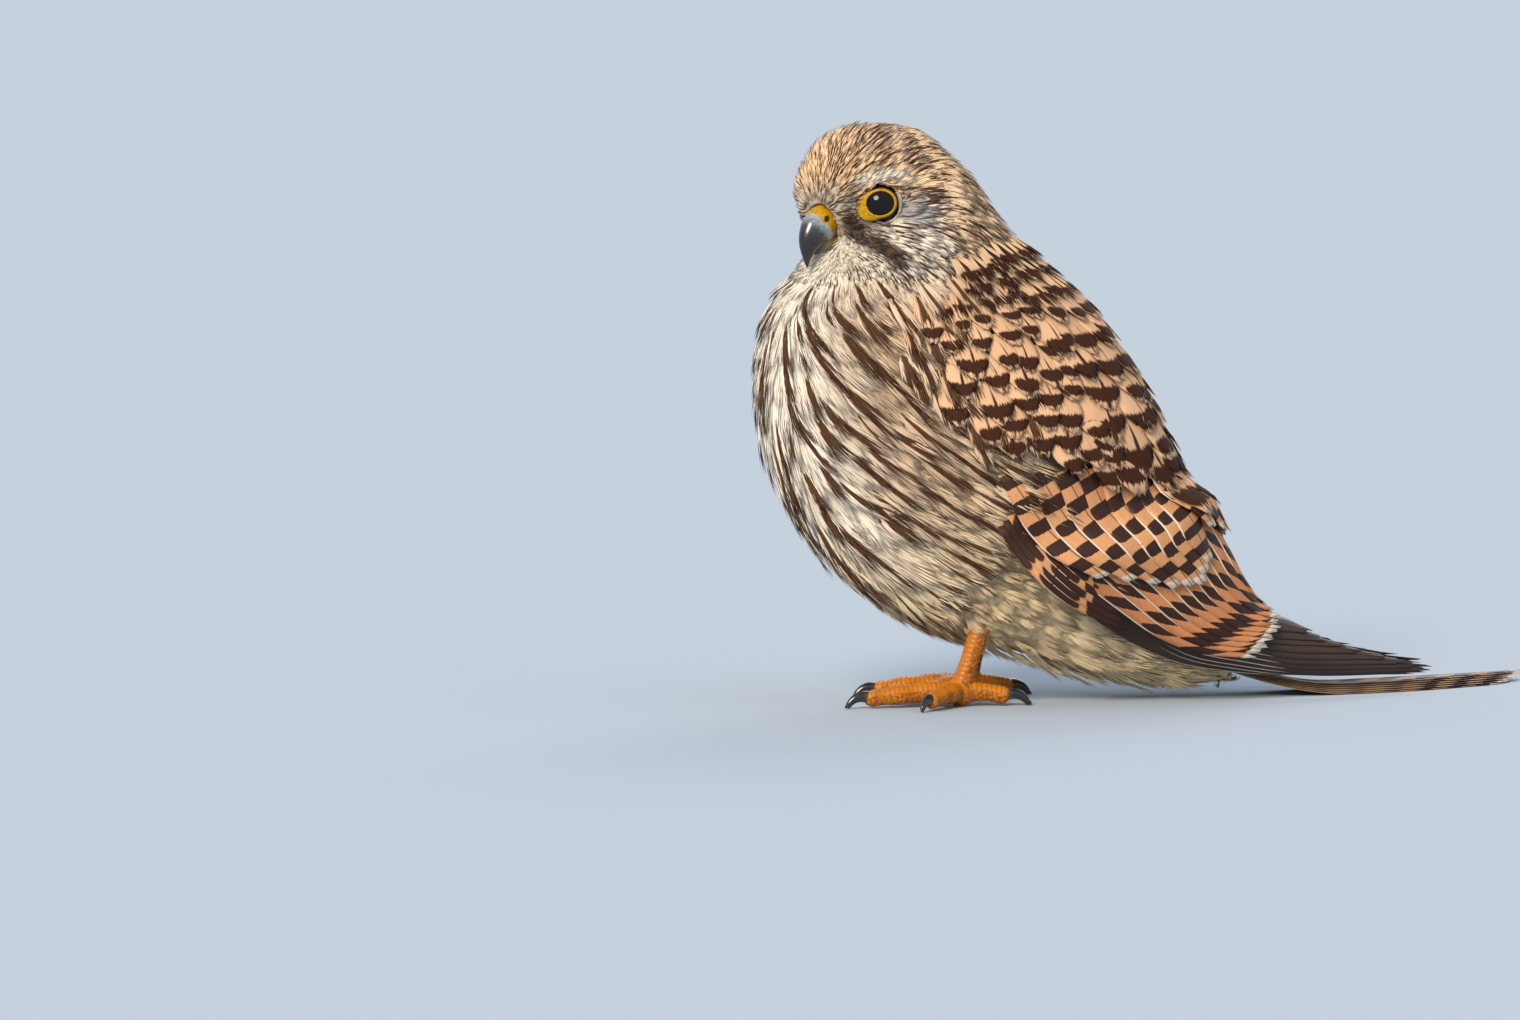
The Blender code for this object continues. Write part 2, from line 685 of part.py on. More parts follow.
def coverts_under(u, degrees):
    """What the coverts lie on: the arm where it reaches, and the secondaries past it."""
    past = blend(4.1, 4.9, u)
    return (1 - past) * (arm_height(u, degrees) - 1.5) + past * secondaries_top(u, degrees)


def make_coverts(side, word):
    """The fore-wing with its greater and median coverts and the scapulars over its back edge."""
    def angles(u):
        return spaced(-8.0 + 22.0 * (1 - blend(ARM[0], 3.0, u)), 84.0, 8)

    us = spaced(*ARM, 7)
    name = f"wing_{word}_coverts"
    arm = wing_patch(name, side, us, angles, lambda u, d: UNDER_WING, arm_height, "mantle")
    feathers = fan(
        side, 8, lambda u: 58.0, lambda u: 6.0 - 4.0 * (u - 4.0), lambda s: (5.0 - 0.9 * s, 8.3 - 1.25 * s),
        5.6, coverts_under)
    feathers += fan(
        side, 6, lambda u: 52.0, lambda u: 4.0 - 4.0 * (u - 3.0), lambda s: (3.7 - 0.9 * s, 6.3 - 1.3 * s),
        5.8, lambda u, d: coverts_under(u, d) + 2.2 * blend(4.0, 5.2, u), rows=3)
    feathers += fan(
        side, 3, lambda u: 80.5, lambda u: 58.0, lambda s: (3.9 - 0.2 * s, 7.2 - 0.4 * s),
        6.2, lambda u, d: coverts_under(u, d) + 2.4 * (1 - blend(62.0, 78.0, d)), rows=3)
    return combine(arm, feathers, "UNION")


def make_secondaries(side, word):
    """The secondaries and tertials, shingled on one root."""
    name = f"wing_{word}_secondaries"
    root = wing_patch(
        name, side, SECONDARY_ROOT, lambda u: spaced(-6.0, 82.0, 8),
        lambda u, d: UNDER_WING, lambda u, d: GAP + SECONDARY_DEEP - 0.6, "barred")
    feathers = fan(
        side, SECONDARIES, lambda u: 75.0, lambda u: 2.0 + 4.0 * (u - 5.0),
        lambda s: (SECONDARY_ROOT[0] + 0.1, SECONDARY_ENDS[round(s * (SECONDARIES - 1))]),
        6.6, primaries_top, rows=5, point=0.36)
    return combine(root, feathers, "UNION")


def make_primaries(side, word):
    """The long primaries past the secondaries, stacked with the innermost outermost of the stack."""
    name = f"wing_{word}_primaries"
    root = wing_patch(
        name, side, PRIMARY_ROOT, lambda u: spaced(-8.0, PRIMARY_UPPER, 5),
        lambda u, d: UNDER_WING, lambda u, d: PRIMARY_TOP - 0.3, "flight")
    feathers = []
    count = len(PRIMARY_SHORT)
    tip_row = WING_TIP_ROW[side]
    for i, short in enumerate(PRIMARY_SHORT):
        share = i / (count - 1)
        start = PRIMARY_ROOT[0] + 0.1
        end = tip_row - to_rows(tip_row - 1.0, side, short)
        level = UNDER_WING + VANE / 2 + (count - 1 - i) * PRIMARY_LAYER

        def place(a, b, lift, share=share, start=start, end=end, level=level):
            u = start + (end - start) * a
            spread = blend(7.4, 14.5, u)
            degrees = 38.0 - 44.0 * share + spread * (14.0 - 6.0 * share)
            degrees += to_degrees(u, degrees, side, b)
            return body_point(u, degrees, level + lift, side)

        feathers.append(vane("vane", place, 6.0, rows=6, root_share=0.8, point=0.22))
    return combine(root, feathers, "UNION")


def make_tail():
    """Twelve tail feathers, the middle pair on top, on one root held in the rump."""
    across, along = (-9.0, 0.0, 9.0), (-9.0, -1.0)
    top = [[tail_point(s, b, TAIL_PAIRS * TAIL_LAYER - 0.3) for b in across] for s in along]
    low = [[tail_point(s, b, 0.3) for b in across] for s in along]
    root = slab("tail", top, low, "tail")
    feathers = []
    for pair in range(TAIL_PAIRS):
        layer = (TAIL_PAIRS - 1 - pair) * TAIL_LAYER + VANE / 2
        length = TAIL_LENGTH - 1.6 * pair**1.35
        for side in (-1, 1):
            def place(a, b, lift, pair=pair, layer=layer, length=length, side=side):
                s = -6.0 + (length + 6.0) * a
                wide = 6.4 + pair * (0.75 + 1.05 * blend(0.0, 1.0, a))
                share = (b / 4.0 + 1.0) / 2.0
                middle = 0.3 + 1.5 * (1 if pair == 0 and side < 0 else 0)
                return tail_point(s, side * (middle + (wide - middle) * share), layer + lift)
            feathers.append(vane("vane", place, 4.0, rows=6, root_share=1.0, point=0.35))
    return combine(root, feathers, "UNION")


def tail_room():
    """The slot in the rump that the tail's root sits in."""
    top, low = [], []
    for s in np.arange(-9.4, 62.0, 8.9):
        half = 11.6 + 0.03 * max(0.0, s)
        top.append([tail_point(s, b, TAIL_PAIRS * TAIL_LAYER + GAP) for b in (-half, 0.0, half)])
        low.append([tail_point(s, b, -GAP) for b in (-half, 0.0, half)])
    return slab("tail_room", top, low)


def toe_way(degrees, side):
    """The level direction of a toe on the foot of that side."""
    angle = math.radians(degrees)
    return np.array((-math.cos(angle), side * math.sin(angle), 0.0))


def toe_path(foot, way, length, thick):
    """The middle line and radii of a toe, with a swelling at each joint."""
    start = np.array((*foot, 0.0))
    path, radii = [], []
    count = 6
    for i in range(count + 1):
        a = i / count
        height = 4.6 + 0.5 * math.sin(math.pi * a) - 1.5 * a
        path.append(start + way * (0.6 + length * a) + np.array((0.0, 0.0, height)))
        radii.append(thick * (1.16 - 0.30 * a - 0.2 * a**6 + 0.09 * math.cos(6 * math.pi * a)))
    return path, radii


def claw_path(end, way, length):
    """The middle line and radii of a claw: up, over and down to a point just off the ground."""
    path, radii = [], []
    count = 5
    for i in range(count + 1):
        a = i / count
        turn = math.radians(20.0 - 118.0 * a)
        if i == 0:
            path.append(end + way * CLAW_GAP)
        else:
            step = length / count
            path.append(path[-1] + way * step * math.cos(turn) + np.array((0, 0, step * math.sin(turn))))
        radii.append(2.1 * (1 - a) ** 0.8 + 0.22)
    lowest = min(p[2] - r for p, r in zip(path, radii))
    for p in path:
        p[2] += (0.0 if lowest > 0.05 else 0.05 - lowest)
    return path, radii


def floor_cutter():
    """A block below the ground level, which makes the flats that the part stands on."""
    mesh = bpy.data.meshes.new("ground")
    bm = bmesh.new()
    bmesh.ops.create_cube(bm, size=600 * MM)
    bmesh.ops.translate(bm, verts=bm.verts, vec=(0, 0, -300 * MM))
    bm.to_mesh(mesh)
    bm.free()
    obj = bpy.data.objects.new("ground", mesh)
    bpy.data.collections["kestrel"].objects.link(obj)
    return obj


def make_leg(side, torso_room):
    """One leg: the feathered shank's top, the bare shank with its toes, and four claws."""
    leg = LEG[side]
    word, foot, hock = leg["word"], leg["foot"], np.array(leg["hock"])
    ankle = np.array((*foot, 5.0))
    way = (hock - ankle) / np.linalg.norm(hock - ankle)
    tall = np.linalg.norm(hock - ankle)
    knee = ankle + way * (tall * 0.56)
    path = [ankle + way * (tall * 0.56 * i / 5) for i in range(6)]
    shank = horn(f"foot_{word}", path, (4.3, 3.3, 2.9, 2.9, 3.1, 3.3), sides=2, kind="leg")
    pieces = [ball("heel", ankle + np.array((0, 0, -0.6)), 4.9, 10, 6)]
    for name, degrees, length, thick in TOES:
        toe_dir = toe_way(degrees, side)
        line, radii = toe_path(foot, toe_dir, length, thick)
        pieces.append(horn("toe", line, radii, sides=1))
        claw_line, claw_radii = claw_path(line[-1] + np.array((0.0, 0.0, 0.3)), toe_dir, CLAW_LENGTH[name])
        horn(f"claw_{word}_{name}", claw_line, claw_radii, sides=1, kind="claw")
    combine(shank, pieces, "UNION")
    combine(shank, [floor_cutter(), copy_of(torso_room, "room")], "DIFFERENCE")
    top = knee + way * 0.35
    path = [top, top + way * 4.0, top + way * 9.0, top + way * 16.0, top + way * 24.0]
    thigh = horn(f"thigh_{word}", path, (4.0, 6.2, 8.4, 10.5, 11.0), sides=3, kind="torso")
    combine(thigh, [torso_room], "DIFFERENCE")
    return shank


def make_bird():
    """Every piece of the bird."""
    torso = make_head_and_body()
    tail = make_tail()
    combine(torso, [tail_room()], "DIFFERENCE")
    combine(tail, [floor_cutter()], "DIFFERENCE")
    for side, word in ((-1, "left"), (1, "right")):
        make_coverts(side, word)
        make_secondaries(side, word)
        make_primaries(side, word)
        make_leg(side, body_form(GAP))


def stand_on_origin():
    """Moves every mesh so that the origin is under the middle of the whole bird, and smooths it."""
    birds = bpy.data.collections["kestrel"].objects
    places = [v.co for obj in birds for v in obj.data.vertices]
    low = [min(place[i] for place in places) for i in (0, 1)]
    high = [max(place[i] for place in places) for i in (0, 1)]
    shift = Matrix.Translation((-(low[0] + high[0]) / 2, -(low[1] + high[1]) / 2, 0.0))
    for obj in birds:
        obj.data.transform(shift)
        obj.data.shade_smooth()
        obj.data.set_sharp_from_angle(angle=math.radians(50))


def main():
    for obj in list(bpy.data.objects):
        bpy.data.objects.remove(obj)
    collection = bpy.data.collections.new("kestrel")
    bpy.context.scene.collection.children.link(collection)
    make_bird()
    stand_on_origin()


main()
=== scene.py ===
"""The looks of a female common kestrel, standing at rest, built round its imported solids.

Working sizes are in millimetres, in the frame that the solids were drawn in: the bird faces -X, its left
side is -Y, and the origin is on the ground between its feet. Meshes are written in metres, moved by SHIFT.
"""

import math

import bmesh
import bpy
import numpy as np
from mathutils import Matrix, Vector, kdtree, noise
from mathutils.bvhtree import BVHTree


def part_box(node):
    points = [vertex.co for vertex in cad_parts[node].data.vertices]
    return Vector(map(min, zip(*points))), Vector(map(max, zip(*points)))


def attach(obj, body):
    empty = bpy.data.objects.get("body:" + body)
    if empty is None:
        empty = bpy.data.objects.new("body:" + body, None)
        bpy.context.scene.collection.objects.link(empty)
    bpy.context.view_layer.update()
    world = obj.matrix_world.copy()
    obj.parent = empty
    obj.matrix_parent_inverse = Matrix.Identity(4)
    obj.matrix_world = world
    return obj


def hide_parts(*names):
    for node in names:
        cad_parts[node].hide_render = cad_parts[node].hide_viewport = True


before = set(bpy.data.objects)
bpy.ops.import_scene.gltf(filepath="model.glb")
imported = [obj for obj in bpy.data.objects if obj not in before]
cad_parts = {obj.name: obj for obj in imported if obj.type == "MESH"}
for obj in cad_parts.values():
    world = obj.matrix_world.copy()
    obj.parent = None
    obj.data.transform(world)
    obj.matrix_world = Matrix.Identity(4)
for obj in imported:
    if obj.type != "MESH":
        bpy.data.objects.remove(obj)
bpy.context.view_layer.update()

bl_info = {
    "name": "Common kestrel",
    "version": (1, 0, 0),
    "blender": (4, 5, 0),
    "location": "View3D > Sidebar > Kestrel",
    "description": "Dresses a standing kestrel in skin, feathers, bill, eyes and scaled feet",
    "category": "Add Mesh",
}

MM = 0.001

# The body chart of the solids: breast side (x, z), back side (x, z), half width, and how far the torso lies
# in from the back line, where the folded wings cover it.
BODY_ROWS = (
    (-31.0, 156.0, -12.0, 174.0, 11.0, 0.0),
    (-40.0, 149.0, -3.0, 171.0, 17.0, 0.0),
    (-46.0, 142.0, 6.5, 162.5, 20.0, 0.0),
    (-53.0, 134.0, 13.0, 152.0, 24.0, 0.0),
    (-60.5, 124.0, 25.5, 138.0, 29.5, 0.0),
    (-64.0, 107.0, 41.5, 121.0, 35.0, 0.0),
    (-63.5, 87.0, 54.0, 104.0, 38.0, 1.5),
    (-57.0, 66.5, 63.0, 92.0, 39.5, 4.0),
    (-45.5, 48.5, 69.5, 81.0, 38.5, 6.0),
    (-30.5, 34.0, 75.5, 71.0, 36.0, 7.5),
    (-12.0, 23.5, 81.5, 60.5, 32.0, 8.0),
    (8.5, 16.0, 88.0, 49.5, 27.0, 8.0),
    (31.0, 9.5, 94.0, 38.5, 22.5, 8.0),
    (52.0, 4.5, 100.5, 30.5, 18.5, 7.5),
    (74.0, 1.2, 109.0, 27.5, 16.0, 6.0),
    (97.0, 1.2, 119.0, 22.5, 14.5, 5.0),
    (120.0, 1.2, 134.0, 18.5, 13.0, 4.5),
    (143.0, 1.2, 151.0, 15.0, 11.5, 4.0),
    (165.0, 1.2, 170.0, 12.5, 10.0, 4.0),
    (187.0, 1.2, 190.0, 11.0, 8.5, 4.0),
)
FIRST_ROW = -3
ROUNDNESS = 2.15
SWAY_START = 66.0
SWAY = 0.0018
TAIL_ROOT = (66.0, 22.5)
TAIL_SLOPE = math.radians(38.0)
TAIL_CURVE = 70.0
TAIL_LENGTH = 141.0
TAIL_PAIRS = 6
TAIL_LAYER = 0.5
VANE = 0.55
GAP = 0.4

# The head's own frame: its centre, its turn to the bird's left and its tip down.
HEAD_CENTRE = (-28.0, 0.0, 158.2)
HEAD_TURN = math.radians(27.0)
HEAD_DROP = math.radians(5.0)
EYE_CENTRE = (7.7, 12.5, -1.9)
EYE_RADIUS = 6.3
EYE_FORWARD = math.radians(38.0)

# The folded wing, as in the solids: heights off the torso and the sections where each tier starts.
SHINGLE = 0.85
UNDER_WING = 0.75
ARM = (1.3, 4.6)
ARM_DEEP = 5.0
SECONDARY_ROOT = (4.75, 5.2)
SECONDARY_DEEP = 2.7
PRIMARY_ROOT = (6.9, 7.35)
PRIMARY_LAYER = 0.82
GROUND = 0.25
PRIMARY_SHORT = (58.0, 45.0, 31.0, 16.0, 4.0, 0.0, 7.0)
PRIMARY_TOP = UNDER_WING + len(PRIMARY_SHORT) * PRIMARY_LAYER + 0.5
WING_TIP_ROW = {-1: 14.6, 1: 15.0}

# The photograph: pixels for a millimetre at the feet, the pixel between the feet, and the frame.
PHOTO_SCALE = 3.2
PHOTO_FEET = (955.0, 702.0)
PHOTO_FRAME = (1520.0, 1020.0)


def linear(code):
    """A linear colour from an sRGB hex value."""
    parts = [int(code[i:i + 2], 16) / 255 for i in (1, 3, 5)]
    return tuple(c / 12.92 if c <= 0.04045 else ((c + 0.055) / 1.055) ** 2.4 for c in parts)


def blend(low, high, x):
    """0 below low, 1 above high, smooth between."""
    t = np.clip((np.asarray(x, float) - low) / (high - low), 0.0, 1.0)
    return t * t * (3.0 - 2.0 * t)


def through(values, x):
    """The smooth curve through evenly spaced rows of values, at places x."""
    values, x = np.asarray(values, float), np.asarray(x, float)
    last = len(values) - 1
    i = np.clip(np.floor(x).astype(int), 0, last - 1)
    t = (x - i)[..., None]
    a, b, c, d = (values[np.clip(i + j, 0, last)] for j in (-1, 0, 1, 2))
    return b + 0.5 * t * (c - a + t * (2 * a - 5 * b + 4 * c - d + t * (3 * (b - c) + d - a)))


def sway(points):
    """The points moved sideways as the laid tail and wing tips are."""
    past = np.maximum(0.0, points[..., 0] - SWAY_START)
    points[..., 1] += SWAY * past * past
    return points


def unit(vectors):
    """The vectors at length 1."""
    return vectors / np.maximum(np.linalg.norm(vectors, axis=-1, keepdims=True), 1e-9)


def body_points(u, degrees, off, side):
    """Points off mm outside body section u, at an angle up from the flank towards the back."""
    u, degrees, off, side = np.broadcast_arrays(*(np.asarray(v, float) for v in (u, degrees, off, side)))
    rows = through(BODY_ROWS, u - FIRST_ROW)
    zero = np.zeros_like(u)
    front = np.stack((rows[..., 0], zero, rows[..., 1]), axis=-1)
    back = np.stack((rows[..., 2], zero, rows[..., 3]), axis=-1)
    dorsal = unit(back - front)
    back = back - dorsal * rows[..., 5:6]
    deep = np.linalg.norm(back - front, axis=-1) / 2
    c, s = np.cos(np.radians(degrees)), np.sin(np.radians(degrees))
    power = 2.0 / ROUNDNESS
    across = side * np.sign(c) * np.abs(c) ** power * (rows[..., 4] + off)
    up = np.sign(s) * np.abs(s) ** power * (deep + off)
    points = (front + back) / 2 + dorsal * up[..., None]
    points[..., 1] += across
    return sway(points)


def chart_steps(u, degrees, off, side):
    """How many mm one body row is, and how many one degree round, at places of the chart."""
    ahead = body_points(u + 0.05, degrees, off, side) - body_points(u - 0.05, degrees, off, side)
    beside = body_points(u, degrees + 0.5, off, side) - body_points(u, degrees - 0.5, off, side)
    return np.linalg.norm(ahead, axis=-1) * 10.0, np.linalg.norm(beside, axis=-1)


def tail_points(s, across, height):
    """Points of the tail, s mm from the rump, across its middle and height above its underside."""
    s, across, height = np.broadcast_arrays(*(np.asarray(v, float) for v in (s, across, height)))
    t = np.clip(s, 0.0, TAIL_CURVE)
    turn = TAIL_CURVE / TAIL_SLOPE
    slope = TAIL_SLOPE * (1 - t / TAIL_CURVE)
    before = np.minimum(s, 0.0)
    x = turn * (math.sin(TAIL_SLOPE) - np.sin(slope)) + np.maximum(s - TAIL_CURVE, 0.0)
    x = x + before * math.cos(TAIL_SLOPE)
    z = turn * (1 - np.cos(slope)) - before * math.sin(TAIL_SLOPE)
    lean = np.stack((np.sin(slope), np.zeros_like(s), np.cos(slope)), axis=-1)
    return sway(np.stack((TAIL_ROOT[0] + x, across, z), axis=-1) + height[..., None] * lean)


def head_frame():
    """The matrix from the head's own forward, left and up, in mm, to the bird's frame."""
    forward = Vector((-math.cos(HEAD_TURN), -math.sin(HEAD_TURN), 0.0))
    left = Vector((math.sin(HEAD_TURN), -math.cos(HEAD_TURN), 0.0))
    dropped = forward * math.cos(HEAD_DROP) - Vector((0, 0, 1)) * math.sin(HEAD_DROP)
    frame_of_head = Matrix((dropped, left, dropped.cross(left))).transposed().to_4x4()
    return Matrix.Translation(Vector(HEAD_CENTRE)) @ frame_of_head


HEAD = head_frame()
HEAD_AXES = np.array(HEAD.to_3x3())
HEAD_MIDDLE = np.array(HEAD_CENTRE)


def on_head(forward, left, up):
    """A point of the head's own frame in the bird's frame, in mm."""
    return HEAD_AXES @ np.array((forward, left, up)) + HEAD_MIDDLE


def in_head(points):
    """The forward, left and up of points of the bird's frame."""
    return (points - HEAD_MIDDLE) @ HEAD_AXES


def cad_shift():
    """From the frame of the solids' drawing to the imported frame, in mm, by the left eye."""
    low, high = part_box("eye_left")
    return np.array((low + high) / 2) / MM - on_head(*EYE_CENTRE)


SHIFT = cad_shift()
TO_SCENE = Matrix.Translation(Vector(SHIFT * MM)) @ Matrix.Scale(MM, 4)
HEAD_TO_SCENE = TO_SCENE @ HEAD


# Wing heights

def primaries_top(u, degrees):
    """The height that the folded primaries take up."""
    return PRIMARY_TOP * blend(5.6, PRIMARY_ROOT[0] - 0.1, u) * (1.0 - blend(62.0, 82.0, degrees))


def secondaries_top(u, degrees):
    """The height that secondaries and primaries take up together."""
    return primaries_top(u, degrees) + SECONDARY_DEEP * blend(4.3, SECONDARY_ROOT[0], u)


def arm_height(u, degrees):
    """How far the fore-wing stands off the body: thin at its edges and along the back."""
    length = blend(ARM[0] - 0.2, 3.6, u)
    round_it = blend(-16.0, 14.0, degrees) * (1.0 - 0.55 * blend(40.0, 84.0, degrees))
    return 1.2 + (ARM_DEEP - 1.2) * length * round_it


def coverts_under(u, degrees):
    """What the coverts lie on: the arm where it reaches, and the secondaries past it."""
    past = blend(4.1, 4.9, u)
    return (1 - past) * (arm_height(u, degrees) - 1.5) + past * secondaries_top(u, degrees)


# Where the folded wing's lower edge shows: body section and angle.
WING_EDGE = (
    (0.7, 2.0), (1.0, -10.0), (1.4, -17.0), (2.7, -14.0), (3.4, -4.0), (4.3, 2.0), (5.4, 3.0), (7.3, -4.0),
    (9.0, -8.0))


def wing_edge(u):
    """The angle of the wing's lower edge at body section u."""
    return np.interp(u, *zip(*WING_EDGE))


# Meshes and nodes

def put(tree, kind, inputs=None, **settings):
    """Adds a shader node with its settings, and sets or links its inputs."""
    node = tree.nodes.new("ShaderNode" + kind)
    for name, value in settings.items():
        setattr(node, name, value)
    for name, value in (inputs or {}).items():
        if isinstance(value, bpy.types.NodeSocket):
            tree.links.new(value, node.inputs[name])
        else:
            node.inputs[name].default_value = value
    return node


def new_material(name, rough, ior=1.5, coat=0.0, specular=0.5):
    """A material with an empty Principled shader: its tree, shader and itself."""
    made = bpy.data.materials.new(name)
    made.use_nodes = True
    shader = made.node_tree.nodes["Principled BSDF"]
    shader.inputs["Roughness"].default_value = rough
    shader.inputs["IOR"].default_value = ior
    shader.inputs["Specular IOR Level"].default_value = specular
    shader.inputs["Coat Weight"].default_value = coat
    shader.inputs["Coat Roughness"].default_value = 0.03
    return made.node_tree, shader, made


def ramp(tree, factor, stops, interpolation="LINEAR"):
    """Fills a ramp node with (place, level) stops of grey or colour."""
    node = put(tree, "ValToRGB", {"Fac": factor})
    node.color_ramp.interpolation = interpolation
    elements = node.color_ramp.elements
    while len(elements) < len(stops):
        elements.new(0.5)
    for element, (place, level) in zip(elements, stops):
        element.position = place
        element.color = (*level, 1.0) if isinstance(level, tuple) else (level, level, level, 1.0)
    return node.outputs["Color"]


def link_piece(name, mesh, material, replaced=()):
    """Makes an object of the mesh, rides it on the bird and hides the solids that it replaces."""
    mesh.materials.clear()
    mesh.materials.append(material)
    obj = bpy.data.objects.new(name, mesh)
    bpy.context.scene.collection.objects.link(obj)
    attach(obj, "root")
    if replaced:
        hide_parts(*replaced)
    return obj


def mesh_of(name, points, faces):
    """A triangle mesh from arrays of points, in mm in the bird's frame, and faces."""
    mesh = bpy.data.meshes.new(name)
    mesh.vertices.add(len(points))
    mesh.vertices.foreach_set("co", ((points + SHIFT) * MM).astype(np.float32).ravel())
    mesh.loops.add(faces.size)
    mesh.loops.foreach_set("vertex_index", faces.astype(np.int32).ravel())
    mesh.polygons.add(len(faces))
    mesh.polygons.foreach_set("loop_start", np.arange(0, faces.size, 3, dtype=np.int32))
    mesh.update(calc_edges=True)
    mesh.shade_smooth()
    return mesh


# Feathers

class Plumage:
    """Many feathers gathered into one mesh, with what their finish reads."""

    def __init__(self):
        self.points, self.faces, self.vane, self.bake, self.tint, self.mark = [], [], [], [], [], []
        self.count = 0

    def add(self, points, faces, across, along, feathers):
        """Adds feathers: points (n, v, 3) and the places on each vane, with one face list for all."""
        n, v = points.shape[:2]
        corners = np.arange(n)[:, None, None] * v + faces[None]
        flip = feathers["flip"]
        corners[flip] = corners[flip][..., ::-1]
        self.faces.append(corners.reshape(-1, 3) + self.count)
        points[..., 2] = GROUND + np.maximum(points[..., 2] - GROUND, 0.1 * (points[..., 2] - GROUND))
        points[..., 2] = np.maximum(points[..., 2], 0.03)
        self.points.append(points.reshape(-1, 3))
        self.vane.append(np.stack((across * 0.5 + 0.5, along), axis=-1).reshape(-1, 2))
        patch = np.stack((across * BAKE_PATCH / 2, (along - 0.5) * BAKE_PATCH), axis=-1)
        self.bake.append((feathers["root"][:, None, :] + patch).reshape(-1, 2))
        self.tint.append(np.repeat(feathers["tint"], v, axis=0))
        self.mark.append(np.repeat(feathers["mark"], v, axis=0))
        self.count += n * v

    def build(self, name, material, replaced=()):
        """The finished object."""
        faces = np.concatenate(self.faces)
        mesh = mesh_of(name, np.concatenate(self.points), faces)
        corner = faces.ravel()
        for map_name, places in (("OFBake", self.bake), ("vane", self.vane)):
            layer = mesh.uv_layers.new(name=map_name)
            layer.data.foreach_set("uv", np.concatenate(places)[corner].astype(np.float32).ravel())
        for word, values in (("tint", self.tint), ("mark", self.mark)):
            values = np.concatenate(values)
            values = np.concatenate((values, np.ones((len(values), 1))), axis=1)
            layer = mesh.color_attributes.new(word, "FLOAT_COLOR", "POINT")
            layer.data.foreach_set("color", values.astype(np.float32).ravel())
        print(name, len(faces), "triangles")
        return link_piece(name, mesh, material, replaced)


# Each tuft's patch of the bake map.
BAKE_PATCH = 0.003


def handed(place, count):
    """Which feathers have a left-handed place function, so that their faces turn round."""
    t, x, h = (np.zeros((count, 4)) for _ in range(3))
    t[:] = 0.4
    t[:, 1] += 0.05
    x[:, 2] += 0.3
    h[:, 3] += 0.3
    p = place(t, x, h)
    a, b, c = (p[:, i] - p[:, 0] for i in (1, 2, 3))
    return np.einsum("ij,ij->i", np.cross(a, b), c) < 0


def lock_faces(rings):
    """The triangles of one lock: three sides through its rings, a closed root and a pointed tip."""
    faces = [(0, 1, 2)]
    for ring in range(0, 3 * rings - 3, 3):
        for a, b in ((0, 1), (1, 2), (2, 0)):
            faces += [(ring + a, ring + 3 + a, ring + b), (ring + b, ring + 3 + a, ring + 3 + b)]
    last = 3 * rings - 3
    faces += [(last + a, last + 3, last + b) for a, b in ((0, 1), (1, 2), (2, 0))]
    return np.array(faces)[:, ::-1]


def add_locks(plumage, place, feathers, half, locks, rng, rings=3, droop=0.38, wide=1.5, thick=0.3, loose=0.5,
              start=0.22, spread=0.75):
    """Soft feathers, each a fan of free pointed locks of barbs."""
    n = len(half)
    share = (np.arange(locks) + 0.5) / locks * 2 - 1
    share = share[None] + rng.uniform(-0.8, 0.8, (n, locks)) / locks
    steps = np.linspace(0.0, 1.0, rings + 1) ** 0.9
    begin = rng.uniform(0.0, start, (n, locks))
    end = 1.0 - droop * share**2 - 0.16 * rng.random((n, locks)) ** 2
    t = begin[..., None] + (end - begin)[..., None] * steps
    fan = 0.30 + spread * t**0.7 - 0.14 * t**3
    curl = rng.normal(0.0, 0.13, (n, 1, 1)) + rng.normal(0.0, 0.09, (n, locks, 1))
    x = half[:, None, None] * (share[..., None] * fan + curl * t**2)
    width = half[:, None, None] * wide / locks * (0.75 + 0.5 * steps - 1.25 * steps**3)
    rise = np.minimum(0.1 + 2.2 * steps, 1.0) * thick
    stray = loose * rng.random((n, locks))[..., None] ** 2 * steps**2
    left = np.stack((t, x - width, stray), axis=-1)[..., :rings, :]
    right = np.stack((t, x + width, stray), axis=-1)[..., :rings, :]
    ridge = np.stack((t, x, stray + rise), axis=-1)[..., :rings, :]
    tip = np.stack((t, x, stray), axis=-1)[..., rings:, :]
    size = 3 * rings + 1
    sides = np.stack((left, right, ridge), axis=3).reshape(n, locks, 3 * rings, 3)
    local = np.concatenate((sides, tip), axis=2).reshape(n, locks * size, 3)
    points = place(local[..., 0], local[..., 1], local[..., 2])
    faces = (np.arange(locks)[:, None, None] * size + lock_faces(rings)[None]).reshape(-1, 3)
    feathers["flip"] = handed(place, n)
    plumage.add(points, faces, local[..., 1] / half[:, None], local[..., 0], feathers)


def grid_faces(rows, columns):
    """The triangles of a closed plate of points, top first and then bottom, row by row."""
    under = rows * columns
    r, c = np.meshgrid(np.arange(rows - 1), np.arange(columns - 1), indexing="ij")
    a = (r * columns + c).ravel()
    b, d, e = a + 1, a + columns, a + columns + 1
    faces = [np.stack((a, b, e), 1), np.stack((a, e, d), 1)]
    faces += [np.stack((a, e, b), 1) + under, np.stack((a, d, e), 1) + under]
    rim = [(0, j) for j in range(columns)] + [(i, columns - 1) for i in range(1, rows)]
    rim += [(rows - 1, j) for j in range(columns - 2, -1, -1)] + [(i, 0) for i in range(rows - 2, 0, -1)]
    edge = np.array([i * columns + j for i, j in rim])
    after = np.roll(edge, -1)
    faces += [np.stack((edge, after + under, after), 1), np.stack((edge, edge + under, after + under), 1)]
    return np.concatenate(faces)[:, ::-1]


